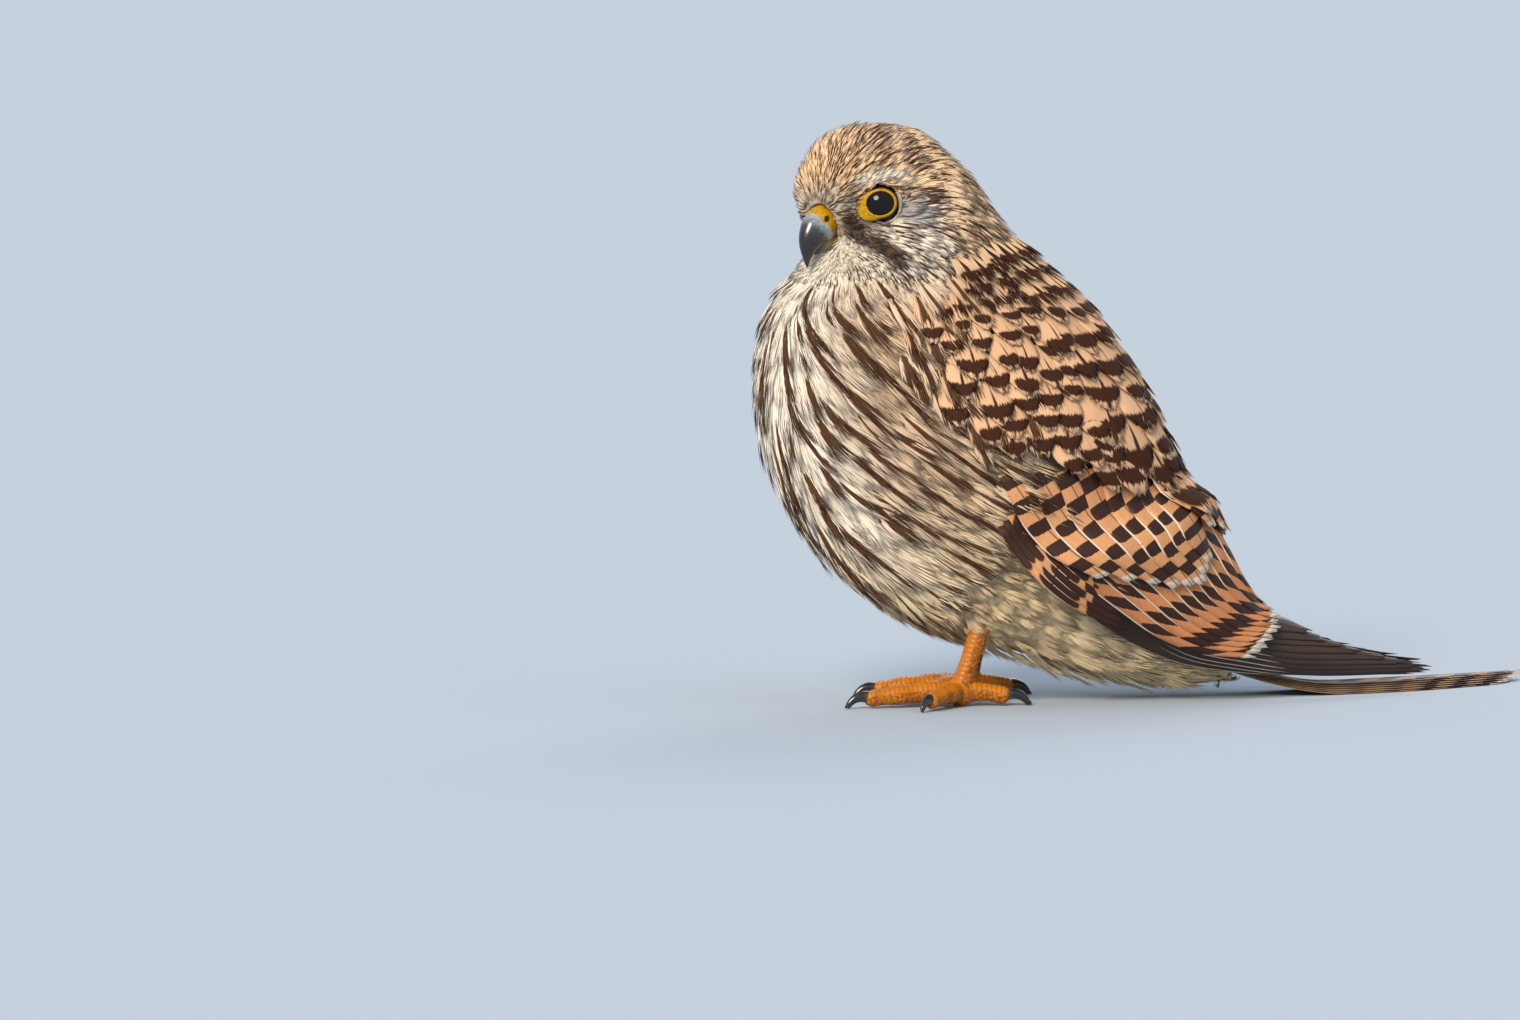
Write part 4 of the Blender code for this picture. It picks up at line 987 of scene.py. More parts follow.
def skin_finish():
    """Skin under a coat: the same colours as the feathers over it, darker as down is."""
    tree, shader, material = new_material("downy skin", rough=0.9)
    tint = put(tree, "Attribute", attribute_name="tint").outputs["Color"]
    place = put(tree, "TexCoord").outputs["Object"]
    flecks = put(tree, "TexNoise", {"Vector": place, "Scale": 420.0, "Detail": 2.0}).outputs["Fac"]
    level = ramp(tree, flecks, ((0.35, 0.6), (0.65, 0.9)))
    tree.links.new(mix_colour(tree, 1.0, tint, level, "MULTIPLY"), shader.inputs["Base Color"])
    return material


def horn_finish(name, base, tip, rough, places=None):
    """Polished keratin of bill and claws: a hard gloss, with the growth lines just showing."""
    tree, shader, material = new_material(name, rough=rough, ior=1.55, coat=0.3)
    grown = put(tree, "Attribute", attribute_name="grown").outputs["Fac"]
    lines = put(tree, "TexNoise", {"Vector": put(tree, "TexCoord").outputs["Object"], "Scale": 900.0}).outputs["Fac"]
    at = put(tree, "Math", {0: lines, 1: 0.12, 2: grown}, operation="MULTIPLY_ADD").outputs[0]
    colour = ramp(tree, at, places or ((0.0, base), (1.0, tip)))
    tree.links.new(colour, shader.inputs["Base Color"])
    relief = put(tree, "Bump", {"Strength": 0.15, "Distance": 0.0001, "Height": lines})
    tree.links.new(relief.outputs[0], shader.inputs["Normal"])
    return material


def waxy_finish(name, colour, dark, scale, rough=0.38):
    """Bare skin, soft and waxy, as cere and eye ring are: a sheen, fine pores and darker creases."""
    tree, shader, material = new_material(name, rough=rough, ior=1.45, specular=0.25)
    shader.inputs["Subsurface Weight"].default_value = 0.08
    shader.inputs["Subsurface Scale"].default_value = 0.0008
    place = put(tree, "TexCoord").outputs["Object"]
    pores = put(tree, "TexNoise", {"Vector": place, "Scale": scale, "Detail": 3.0}).outputs["Fac"]
    shade = ramp(tree, pores, ((0.3, dark), (0.55, colour)))
    tree.links.new(shade, shader.inputs["Base Color"])
    relief = put(tree, "Bump", {"Strength": 0.4, "Distance": 0.0002, "Height": pores})
    tree.links.new(relief.outputs[0], shader.inputs["Normal"])
    return material


def scaly_finish():
    """Scaled skin of the toes: horny plates with a dull gloss, and darker soft skin in the creases."""
    bare = bpy.context.scene.kestrel_bare
    tree, shader, material = new_material("scaled leg skin", rough=0.42, ior=1.5, specular=0.35)
    place = put(tree, "TexCoord").outputs["Object"]
    tone = put(tree, "Attribute", attribute_name="tone").outputs["Fac"]
    crease = ramp(tree, tone, ((0.1, 0.0), (0.55, 1.0)))
    patches = put(tree, "TexNoise", {"Vector": place, "Scale": 240.0, "Detail": 3.0}).outputs["Fac"]
    pores = put(tree, "TexNoise", {"Vector": place, "Scale": 2500.0, "Detail": 2.0}).outputs["Fac"]
    colour = mix_colour(tree, ramp(tree, patches, ((0.4, 0.0), (0.65, 1.0))), linear("#B0640F"), tuple(bare.leg))
    colour = mix_colour(tree, crease, linear("#7A430C"), colour)
    tree.links.new(colour, shader.inputs["Base Color"])
    relief = put(tree, "Bump", {"Strength": 0.3, "Distance": 0.0001, "Height": pores})
    tree.links.new(relief.outputs[0], shader.inputs["Normal"])
    return material


def eye_finish():
    """A wet eye, almost black, with a clear glossy cornea that mirrors the light."""
    bare = bpy.context.scene.kestrel_bare
    _, shader, material = new_material("wet eye", rough=0.08, ior=1.33)
    shader.inputs["Base Color"].default_value = (*bare.eye, 1.0)
    return material


# Modelling helpers

def piece_of(name, bm, material, replaced=()):
    """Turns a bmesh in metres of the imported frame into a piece."""
    bmesh.ops.recalc_face_normals(bm, faces=bm.faces)
    mesh = bpy.data.meshes.new(name)
    bm.to_mesh(mesh)
    bm.free()
    mesh.shade_smooth()
    return link_piece(name, mesh, material, replaced)


def sweep(bm, sections, sides, grown=None):
    """Extrudes a circle through sections, matrices that place, turn and size it, and closes both ends."""
    layer = bm.verts.layers.float.get("grown") or bm.verts.layers.float.new("grown")
    made = bmesh.ops.create_circle(bm, segments=sides, radius=1.0, matrix=sections[0])
    ring = made["verts"]
    edges = list({e for v in ring for e in v.link_edges})
    ends = list(edges)
    for i, (before, after) in enumerate(zip(sections, sections[1:])):
        out = bmesh.ops.extrude_edge_only(bm, edges=edges)["geom"]
        ring = [g for g in out if isinstance(g, bmesh.types.BMVert)]
        edges = [g for g in out if isinstance(g, bmesh.types.BMEdge)]
        bmesh.ops.transform(bm, matrix=after @ before.inverted(), verts=ring)
        for v in ring:
            v[layer] = grown[i + 1] if grown is not None else (i + 1) / len(sections)
    bmesh.ops.holes_fill(bm, edges=ends + edges, sides=0)


def section(place, along, aside, wide, tall):
    """The matrix of one sweep section: a circle across the way along, sized wide and tall."""
    along = Vector(along).normalized()
    aside = (Vector(aside) - along * along.dot(Vector(aside))).normalized()
    up = along.cross(aside)
    turn = Matrix((aside * wide, up * tall, along)).transposed().to_4x4()
    return Matrix.Translation(Vector(place)) @ turn


def voxel_copy(mesh, voxel):
    """A new mesh of the same body, joined where its shells cross, in even small faces."""
    obj = bpy.data.objects.new("joined", mesh)
    bpy.context.scene.collection.objects.link(obj)
    remesh = obj.modifiers.new("one body", "REMESH")
    remesh.mode = "VOXEL"
    remesh.voxel_size = voxel
    graph = bpy.context.evaluated_depsgraph_get()
    made = bpy.data.meshes.new_from_object(obj.evaluated_get(graph))
    bpy.data.objects.remove(obj)
    return made


def flesh_copy(nodes, voxel, swell):
    """One closed smooth mesh of the named nodes, joined over the thin cuts between them."""
    bm = bmesh.new()
    for node in nodes:
        bm.from_mesh(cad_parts[node].data)
    bmesh.ops.remove_doubles(bm, verts=bm.verts, dist=1e-5)
    bm.normal_update()
    for v in bm.verts:
        v.co += v.normal * swell
    mesh = bpy.data.meshes.new("flesh")
    bm.to_mesh(mesh)
    bm.free()
    return voxel_copy(mesh, voxel)


def relax(bm, rounds):
    """Smooths every vertex a few times."""
    for _ in range(rounds):
        bmesh.ops.smooth_vert(bm, verts=bm.verts, factor=0.5, use_axis_x=True, use_axis_y=True, use_axis_z=True)


def eye_place(side):
    """The centre of an eye, the way it looks, and the ways towards the bill and up, in the head's frame."""
    centre = Vector((EYE_CENTRE[0], side * EYE_CENTRE[1], EYE_CENTRE[2]))
    look = Vector((math.sin(EYE_FORWARD), side * math.cos(EYE_FORWARD), 0.05)).normalized()
    up = (Vector((0, 0, 1)) - look * look.z).normalized()
    to_bill = look.cross(up) * side
    return centre, look, to_bill, up


def ring_reach(angle):
    """How far the bare ring reaches from the eye's middle, by the angle up from the bill's side."""
    return 5.0 * 4.4 / np.hypot(4.4 * np.cos(angle), 5.0 * np.sin(angle)) + 3.1 * np.maximum(
        0.0, np.cos(angle + 0.3)) ** 2.6


def round_eyes(at):
    """How far places of the head lie outside the eyes' bare rings, and the way off from the nearer eye."""
    side = np.where(at[:, 1] < 0, -1.0, 1.0)
    mirror = np.stack((np.ones_like(side), side, np.ones_like(side)), axis=1)
    centre, _, to_bill, up = (np.array(v) for v in eye_place(1))
    off = at * mirror - centre
    a, b = off @ to_bill, off @ up
    away = unit(a[:, None] * to_bill + b[:, None] * up) * mirror
    return np.hypot(a, b) - ring_reach(np.arctan2(b, a)), away


FLESH = ("torso", "neck", "head", "thigh_left", "thigh_right")
LIVE = {}


def skin_parts():
    """The skin's surface and the chart finder, worked out once."""
    if "surface" not in LIVE:
        LIVE["surface"] = Surface(bpy.data.objects["skin"].data)
        LIVE["chart"] = Chart()
    return LIVE["surface"], LIVE["chart"]


class KESTREL_OT_skin(bpy.types.Operator):
    """One skin under the coat, in place of the torso, neck, head and thighs"""

    bl_idname = "kestrel.skin"
    bl_label = "Skin"

    def execute(self, context):
        coat = context.scene.kestrel_coat
        mesh = flesh_copy(FLESH, 0.0012, 0.00035)
        bm = bmesh.new()
        bm.from_mesh(mesh)
        relax(bm, 2)
        bm.normal_update()
        points = np.array([v.co for v in bm.verts]) / MM - SHIFT
        at = in_head(points)
        face = blend(-24.0, -8.0, at[:, 0]) * blend(-30.0, -18.0, at[:, 2]) * (np.linalg.norm(at, axis=1) < 36)
        depth = coat.body_depth * (1 - face) + coat.head_depth * face + 0.00035
        for v, d in zip(bm.verts, depth):
            v.co -= v.normal * d
        relax(bm, 2)
        bm.to_mesh(mesh)
        bm.free()
        mesh.shade_smooth()
        mesh.name = "skin"
        link_piece("skin", mesh, skin_finish(), FLESH)
        surface, chart = skin_parts()
        tint, _ = coat_look(surface.points, chart, named_colours())
        layer = mesh.color_attributes.new("tint", "FLOAT_COLOR", "POINT")
        layer.data.foreach_set("color", np.concatenate((tint, np.ones((len(tint), 1))), 1).astype(np.float32).ravel())
        return {"FINISHED"}


def feather_data(tint, streak, bars, seeds, root):
    """The per-feather arrays that Plumage reads."""
    mark = np.stack(np.broadcast_arrays(streak, bars, seeds), axis=-1)
    shade = 0.92 + 0.16 * seeds
    return {"tint": tint * shade[:, None], "mark": mark, "root": root}


class KESTREL_OT_head_coat(bpy.types.Operator):
    """The short feathers of the head, and the bristles before the eyes"""

    bl_idname = "kestrel.head_coat"
    bl_label = "Head feathers"

    def execute(self, context):
        coat = context.scene.kestrel_coat
        surface, chart = skin_parts()
        rng = np.random.default_rng(11)
        spacing = coat.head_spacing / MM

        def keep(points):
            at = in_head(points)
            f, l, k = at.T
            bill = (f > 17.0) & (np.abs(l) < 4.4) & (k < -2.0) & (k > -12.0)
            return (round_eyes(at)[0] > 0.25) & ~bill & (k > -24.5) & (chart.find(points)[:, 0] < 0.9)

        def gaps(points):
            f = in_head(points)[:, 0]
            return spacing * (1.0 - 0.35 * blend(6.0, 16.0, f) + 0.5 * blend(-10.0, -26.0, f))

        roots = surface.scatter(gaps, keep, rng)
        at = in_head(roots)
        n = len(roots)
        length = 10.5 * (1 - 0.58 * blend(6.0, 18.0, at[:, 0])) * (1 + 0.25 * blend(-10.0, -26.0, at[:, 0]))
        length = length * rng.uniform(0.85, 1.15, n)
        tint, streak, _, way = seen_look(surface, chart, roots, length)
        dashed = rng.random(n) < 0.5
        streak = np.where(dashed, streak, 0.0)
        room, away = round_eyes(at)
        towards = -np.einsum("ij,ij->i", away, way @ HEAD_AXES)
        length = np.where(towards > 0.25, np.minimum(length, np.maximum(room + 0.3, 0.7) / np.maximum(towards, 0.3)),
                          length)
        half = 0.15 * length + 0.35
        full = 2.9 * blend(6.0, 14.0, at[:, 0]) * blend(-7.0, 1.0, at[:, 2]) * blend(15.0, 8.0, np.abs(at[:, 1]))
        full = full + 2.2 * blend(-3.0, -12.0, at[:, 0]) * blend(-20.0, -6.0, at[:, 2])
        tip = 0.35 + 0.06 * length * rng.uniform(0.5, 1.5, n) + 0.25 * dashed + full
        turn = rng.uniform(-0.12, 0.12, n)
        data = feather_data(tint, streak, 0.0, rng.random(n), head_place(roots))
        streaks = ((0.0, 0.1), (0.35, 0.36), (0.85, 0.34), (1.0, 0.1))
        finish = soft_feather_finish("fine head feathers", streaks, coat.dash, tip_share=0.1)
        front = at[:, 0] > 4.0
        for name, chosen in (("face_feathers", front), ("crown_feathers", ~front)):
            place = along_skin(surface, chart, roots[chosen], length[chosen], 0.6 * full[chosen] - 0.5,
                               tip[chosen], turn[chosen])
            plumage = Plumage()
            add_locks(plumage, place, picked(data, chosen), half[chosen], 8, rng, rings=2, thick=0.15, loose=0.5, spread=0.6)
            plumage.build(name, finish)
        self.bristles(surface, chart, rng)
        return {"FINISHED"}

    def bristles(self, surface, chart, rng):
        """Dark hair-like feathers that stand off before the eye and under the bill."""
        f, l, k = rng.uniform((19.0, 4.0, -17.0), (23.0, 9.0, 1.0), (60, 3)).T
        side = np.sign(rng.uniform(-1.0, 1.0, 60))
        roots = surface.settle(np.stack((f, l * side, k), axis=1) @ HEAD_AXES.T + HEAD_MIDDLE)[0]
        n = len(roots)
        place = along_skin(surface, chart, roots, rng.uniform(3.5, 6.5, n), np.full(n, -0.3),
                           rng.uniform(1.0, 2.2, n), rng.uniform(-0.5, 0.5, n))
        dark = np.tile(named_colours()["moustache"], (n, 1))
        plumage = Plumage()
        data = feather_data(dark, np.zeros(n), 0.0, rng.random(n), head_place(roots))
        add_locks(plumage, place, data, np.full(n, 0.5), 1, rng, rings=3, thick=0.08, wide=0.16, start=0.05)
        finish = soft_feather_finish("dark bristles", ((0.0, 0.0), (1.0, 0.0)), (0.0, 0.0, 0.0), tip_share=0.0)
        plumage.build("bristles", finish)


def picked(data, chosen):
    """The per-feather arrays of the chosen feathers alone."""
    return {key: value[chosen] for key, value in data.items()}


def flank_cover(spine, chart):
    """How far the soft feathers rise where they lie over the wing's lower edge."""
    shape = spine.shape[:2]
    u, degrees, _ = chart.find(spine.reshape(-1, 3)).T
    rise = arm_height(u, degrees) + 1.0
    edge = wing_edge(u)
    over = blend(-7.0, 1.0, degrees - edge) * blend(0.9, 1.8, u) * (1 - blend(7.5, 8.5, u))
    return (rise * over).reshape(shape)


def chart_rows(rng, starts, step, pitch, low, high, skip=0.0, jitter=1.2):
    """Staggered places of the chart: section, angle and side, step mm apart in rows and pitch mm along them."""
    found = []
    for side in (-1.0, 1.0):
        u, odd = starts[0], False
        while u < starts[1]:
            row_mm, degree_mm = chart_steps(np.array(u), np.array(30.0 * np.sign(low(u) + high(u))), 3.0, side)
            apart_by = pitch(u) / float(degree_mm)
            places = np.arange(high(u) - apart_by * (0.5 if odd else 0.0), low(u), -apart_by)
            found += [(u, d, side) for d in places]
            u, odd = u + step(u) / float(row_mm), not odd
    found = np.array(found)[rng.random(len(found)) >= skip]
    row_mm, degree_mm = chart_steps(found[:, 0], found[:, 1], 3.0, found[:, 2])
    found[:, 0] += rng.uniform(-jitter, jitter, len(found)) / row_mm
    found[:, 1] += rng.uniform(-jitter, jitter, len(found)) / degree_mm
    return found


class KESTREL_OT_body_coat(bpy.types.Operator):
    """The soft feathers of neck, breast, flanks, belly and thighs"""

    bl_idname = "kestrel.body_coat"
    bl_label = "Body feathers"

    def execute(self, context):
        coat = context.scene.kestrel_coat
        surface, chart = skin_parts()
        rng = np.random.default_rng(23)
        spacing = coat.body_spacing / MM

        def keep(points):
            u, degrees, _ = chart.find(points).T
            over = 5.0 - 5.0 * blend(2.6, 3.6, u) - 4.0 * blend(7.0, 8.5, u)
            wing = (degrees > wing_edge(u) + over) & (u > 0.9)
            wing &= (u < 7.2) | (degrees < 64.0)
            return (in_head(points)[:, 2] < -21.5) & (u > -0.8) & (u < 13.0) & ~wing & (points[:, 2] > 3.0)

        def marked_too(points):
            u, degrees, _ = chart.find(points).T
            return keep(points) & (u < 9.5) & (degrees < wing_edge(u) - 3.0 + 64.0 * (u < 0.7))

        def gaps(points):
            u = chart.find(points)[:, 0]
            return spacing * (0.6 + 0.4 * blend(-0.5, 2.0, u) + 0.25 * blend(6.5, 8.5, u))

        roots = surface.scatter(gaps, keep, rng)
        seeds = surface.scatter(lambda points: np.full(len(points), 7.0), marked_too, rng)
        seeds = seeds[np.argsort(chart.find(seeds)[:, 0])]
        marked = flow_lines(surface, chart, seeds, 8.5, 5.3, marked_too)
        marked = surface.settle(marked[rng.random(len(marked)) > 0.1] + rng.normal(0.0, 0.7, 3))[0]
        raised = np.arange(len(roots) + len(marked)) >= len(roots)
        roots = np.concatenate((roots, marked))
        n = len(roots)
        u = chart.find(roots)[:, 0]
        length = 9.0 + 12.0 * blend(-0.8, 1.8, u) + 4.0 * blend(3.0, 7.0, u) * ~raised
        hocks = np.array([leg["hock"] for leg in LEG.values()])
        near_leg = np.linalg.norm(roots[:, None] - hocks[None], axis=2).min(axis=1)
        length = length * rng.uniform(0.85, 1.15, n) * (0.7 + 0.3 * blend(10.0, 40.0, roots[:, 2]))
        length = length * (0.4 + 0.6 * blend(14.0, 32.0, near_leg)) * (1 - 0.6 * blend(11.0, 12.8, u))
        tint, streak, places, _ = seen_look(surface, chart, roots, length)
        degrees = places[:, 1]
        streak = streak * np.where(raised, rng.uniform(0.75, 1.5, n), 0.6 * (rng.random(n) < 0.15))
        half = np.where(raised, 0.15, 0.19) * length + 0.3
        hanging = blend(-20.0, -40.0, degrees) * blend(4.5, 6.0, u) * (1 - blend(10.0, 11.5, u))
        tip = 1.5 + rng.random(n) ** 2 * (1.4 + 1.4 * hanging) + 1.5 * raised
        root = np.where(raised, 1.4, -0.8)
        turn = rng.uniform(-0.16, 0.16, n)
        data = feather_data(tint, streak, 0.0, rng.random(n), ring_place(*places.T))
        streaks = ((0.0, 0.15), (0.3, 0.34), (0.75, 0.55), (0.93, 0.5), (1.0, 0.2))
        finish = soft_feather_finish("loose breast feathers", streaks, coat.streak, tip_share=0.12)
        rows = (-9.0, 0.7, 2.4, 4.2, 6.4, 99.0)
        names = ("neck_feathers", "breast_feathers", "flank_feathers", "belly_feathers", "vent_feathers")
        for name, first, last in zip(names, rows, rows[1:]):
            chosen = (u >= first) & (u < last)
            place = along_skin(surface, chart, roots[chosen], length[chosen], root[chosen], tip[chosen], turn[chosen],
                               steps=5, cover=lambda spine: flank_cover(spine, chart))
            plumage = Plumage()
            low = first > 4.0
            add_locks(plumage, place, picked(data, chosen), half[chosen] * (1.3 if low else 1.0), 20, rng, thick=0.18,
                      loose=1.4, droop=0.5 if low else 0.38, wide=1.3, spread=0.95 if low else 0.75)
            plumage.build(name, finish)
        return {"FINISHED"}


def over_arm(u, degrees):
    """How high the feathers of back and fore-wing lie: on the arm, and on the coverts below it."""
    coverts = coverts_under(u, degrees) + 2.2 * blend(4.1, 5.0, u)
    return np.maximum(arm_height(u, degrees) + UNDER_WING, coverts) * blend(0.4, 1.6, u)


# Below this angle of the body the back's feathers are the smaller ones of the fore-wing.
LESSER_UPTO = 32.0


class KESTREL_OT_mantle(bpy.types.Operator):
    """The soft shoulder feathers, and the barred feathers of the back and fore-wing, in rows"""

    bl_idname = "kestrel.mantle"
    bl_label = "Mantle and lesser coverts"

    def execute(self, context):
        colours = named_colours()
        rng = np.random.default_rng(37)
        rows = chart_rows(
            rng, (0.85, 3.6), lambda u: 5.5, lambda u: 6.5, lambda u: float(wing_edge(u)) - 3.0,
            lambda u: float(wing_edge(u)) + 20.0 - 4.0 * float(blend(1.6, 3.4, u)))
        u, degrees, side = rows.T
        n = len(u)
        place = along_chart(u, degrees, side, rng.uniform(13.0, 17.0, n), np.radians(rng.uniform(0.0, 24.0, n)),
                            np.radians(-10.0), over_arm, np.full(n, -0.8), rng.uniform(1.0, 1.8, n))
        share = blend(-2.0, 16.0, degrees - wing_edge(u)) * blend(0.2, 1.0, u)
        tint = mix(mix(np.tile(colours["flank"], (n, 1)), colours["mantle"], share), colours["breast"],
                   0.3 * rng.random(n))
        streak = rng.uniform(0.55, 1.1, n) * (0.55 + 0.45 * blend(0.8, 1.8, u))
        data = feather_data(tint, streak, 0.0, rng.random(n), ring_place(u, degrees, side))
        plumage = Plumage()
        add_locks(plumage, place, data, rng.uniform(3.0, 3.8, n), 14, rng, thick=0.2, loose=0.8)
        streaks = ((0.0, 0.2), (0.45, 0.5), (0.8, 0.62), (0.9, 0.3), (1.0, 0.05))
        finish = soft_feather_finish("shoulder feathers", streaks, context.scene.kestrel_coat.streak, tip_share=0.35)
        plumage.build("shoulder_feathers", finish)

        lesser = chart_rows(
            rng, (0.5, 4.4), lambda u: 5.2 + 1.8 * float(blend(0.6, 2.4, u)),
            lambda u: 5.6 + 2.2 * float(blend(0.6, 2.4, u)),
            lambda u: float(wing_edge(u)) + 12.0 - 6.0 * float(blend(1.4, 3.2, u)), lambda u: LESSER_UPTO, jitter=0.9)
        rows = chart_rows(
            rng, (0.4, 5.4), lambda u: 5.5 + 4.2 * float(blend(0.4, 2.6, u)),
            lambda u: 6.0 + 5.5 * float(blend(0.4, 2.6, u)), lambda u: LESSER_UPTO - 4.0, lambda u: 90.0, jitter=1.0)
        rows = np.concatenate((lesser, rows))
        u, degrees, side = rows.T
        last = np.interp(degrees, (0.0, 25.0, 45.0, 90.0), (3.6, 4.2, 4.9, 5.4))
        u, degrees, side = rows[u < last].T
        n = len(u)
        length = (11.0 + 13.0 * blend(0.4, 2.8, u)) * (1 - 0.32 * (degrees < LESSER_UPTO) * blend(0.5, 1.5, u))
        length = length * rng.uniform(0.9, 1.1, n)
        half = 0.31 * length + rng.uniform(-0.3, 0.5, n)
        slant = np.radians(-4.0 + rng.uniform(-9.0, 9.0, n))
        tip = 1.5 + rng.uniform(0.0, 0.9, n)
        tint = mix(np.tile(colours["mantle"], (n, 1)), colours["nape"], 0.8 * (1 - blend(0.5, 1.7, u)))
        tint = mix(tint, colours["flank"], 0.35 * rng.random(n))
        streak = rng.uniform(0.1, 0.7, n) + 0.9 * (1 - blend(0.7, 1.5, u))
        bars = rng.uniform(0.65, 1.2, n) * (0.8 + 0.2 * blend(0.8, 1.8, u))
        data = feather_data(tint, streak, bars, rng.random(n),
                            ring_place(u, degrees, side))
        plumage = Plumage()
        for chosen, firm in ((u < 1.3, False), (u >= 1.3, True)):
            some, wide = picked(data, chosen), half[chosen]
            place = along_chart(u[chosen], degrees[chosen], side[chosen], length[chosen], slant[chosen],
                                np.radians(-4.0), over_arm, np.full(len(wide), -1.2), tip[chosen])
            if firm:
                add_vanes(plumage, place, some, wide, rng, rows=9, thick=0.3, camber=0.5, ragged=0.05,
                          root_share=0.7, taper=0.5, reach=0.9)
            add_locks(plumage, place, some, wide * 1.04, 18, rng, thick=0.2, loose=0.6, wide=1.5, droop=0.3)
        streaks = ((0.0, 0.0), (0.4, 0.2), (0.85, 0.3), (0.95, 0.0))
        finish = soft_feather_finish("barred mantle feathers", streaks, context.scene.kestrel_coat.blotch,
                                     ((0.61, 0.14),), tip_share=0.3)
        plumage.build("mantle_feathers", finish)
        return {"FINISHED"}


def tier_data(count, side, tint, rng, us, angles, streak=1.0):
    """The per-feather arrays of one tier of firm feathers."""
    seeds = rng.random(count)
    return feather_data(np.tile(np.array(tint), (count, 1)), streak, seeds * 0.3, seeds,
                        ring_place(np.full(count, us), np.linspace(*angles, count), np.full(count, side)))


class KESTREL_OT_wings(bpy.types.Operator):
    """The tiers of the folded wings: coverts, tertials, secondaries and primaries"""

    bl_idname = "kestrel.wings"
    bl_label = "Wing feathers"

    def execute(self, context):
        wing = context.scene.kestrel_wing
        rng = np.random.default_rng(53)
        covert_finish = firm_feather_finish("barred coverts", 5.2, 0.52, 0.12, 0.10, 0.06)
        tertial_finish = firm_feather_finish("barred tertials", 6.2, 0.52, -0.6, 0.07, 0.03)
        dark_covert_finish = firm_feather_finish("spotted primary coverts", 2.7, 0.85, 0.2, 0.05, 0.0)
        primary_finish = firm_feather_finish("dark flight feathers", edge=0.06, tip=0.0, edge_both=True, rough=0.45)
        for side, word in ((-1, "left"), (1, "right")):
            coverts = Plumage()
            place = wing_tier(
                side, 8, lambda u: 47.0 - 3.3 * (u - 5.2), lambda u: u - 4.35,
                lambda s: (5.2 - 0.85 * s, float(np.interp(s, (0.0, 0.3, 0.6, 1.0), (7.85, 8.25, 8.0, 7.05)))),
                5.6, coverts_under, SHINGLE * 0.7)
            add_vanes(coverts, place, tier_data(8, side, wing.covert, rng, 6.0, (47, 1)), np.full(8, 5.6), rng,
                      rows=16, camber=0.5, shaft=0.2, ragged=0.015, point=0.35)
            place = wing_tier(
                side, 6, lambda u: 86.0 + 0 * u, lambda u: 50.0 + 0 * u, lambda s: (4.2 - 0.5 * s, 8.2 - 1.0 * s),
                6.0, lambda u, d: coverts_under(u, d) + 1.6 * (1 - blend(58.0, 74.0, d)), SHINGLE * 0.4)
            add_vanes(coverts, place, tier_data(6, side, wing.covert, rng, 5.5, (86, 52)), np.full(6, 6.0), rng,
                      rows=14, camber=0.5, shaft=0.2, ragged=0.03)
            coverts.build(f"wing_{word}_covert_feathers", covert_finish, (f"wing_{word}_coverts",))
            edge_coverts = Plumage()
            place = wing_tier(
                side, 5, lambda u: 0.0 * u + 1.0, lambda u: 0.0 * u - 8.0, lambda s: (5.0 + 0.3 * s, 7.7 + 0.8 * s),
                3.4, primaries_top, SHINGLE * 0.5)
            add_vanes(edge_coverts, place, tier_data(5, side, wing.covert, rng, 6.5, (1, -8)), np.full(5, 3.4), rng,
                      rows=12, camber=0.3, shaft=0.2, ragged=0.02)
            edge_coverts.build(f"wing_{word}_primary_coverts", dark_covert_finish)
            secondaries = Plumage()
            place = wing_tier(
                side, 12, lambda u: 78.0 + 0 * u, lambda u: 2.0 + 0.9 * (u - 5.0),
                lambda s: (SECONDARY_ROOT[0] + 0.1, float(np.interp(s, TERTIAL_SHARES, TERTIAL_ENDS))),
                6.4, primaries_top, SHINGLE * 0.55, 0.75)
            add_vanes(secondaries, place, tier_data(12, side, wing.tertial, rng, 8.0, (78, 5)), np.full(12, 6.0), rng,
                      rows=20, camber=0.4, shaft=0.3, point=0.36)
            secondaries.build(f"wing_{word}_secondary_feathers", tertial_finish,
                              (f"wing_{word}_secondaries",))
            primaries = Plumage()
            place, count = primary_place(side)
            add_vanes(primaries, place, tier_data(count, side, wing.primary, rng, 10.0, (38, -6)), np.full(count, 6.0),
                      rng, rows=22, camber=0.2, shaft=0.35, root_share=0.8, point=0.22)
            primaries.build(f"wing_{word}_primary_feathers", primary_finish,
                            (f"wing_{word}_primaries",))
        return {"FINISHED"}


# The sections where tertials and secondaries end, from the back down to the wing's lower edge.
TERTIAL_SHARES = (0.0, 0.12, 0.3, 0.6, 1.0)
TERTIAL_ENDS = (8.4, 9.9, 10.4, 10.75, 10.9)


def primary_place(side):
    """The place function of the folded primaries of one wing, and how many there are."""
    count = 10
    short = np.interp(np.linspace(0, 1, count), np.linspace(0, 1, len(PRIMARY_SHORT)), PRIMARY_SHORT)
    share = np.arange(count) / (count - 1)
    tip_row = WING_TIP_ROW[side]
    row_mm, _ = chart_steps(np.array(tip_row - 1.0), np.array(20.0), 3.0, side)
    start = PRIMARY_ROOT[0] + 0.1
    end = tip_row - short / float(row_mm)
    layer = PRIMARY_LAYER * (len(PRIMARY_SHORT) - 1) / (count - 1)
    level = UNDER_WING + VANE / 2 + (count - 1 - np.arange(count)) * layer

    def place(t, x, h):
        u = start + each(end - start, t) * t
        spread = blend(7.4, 14.5, u)
        degrees = 38.0 - 44.0 * each(share, t) + spread * (14.0 - 6.0 * each(share, t))
        _, degree_mm = chart_steps(u, degrees, 3.0, side)
        return body_points(u, degrees + x / degree_mm, each(level, t) + h, side)

    return place, count


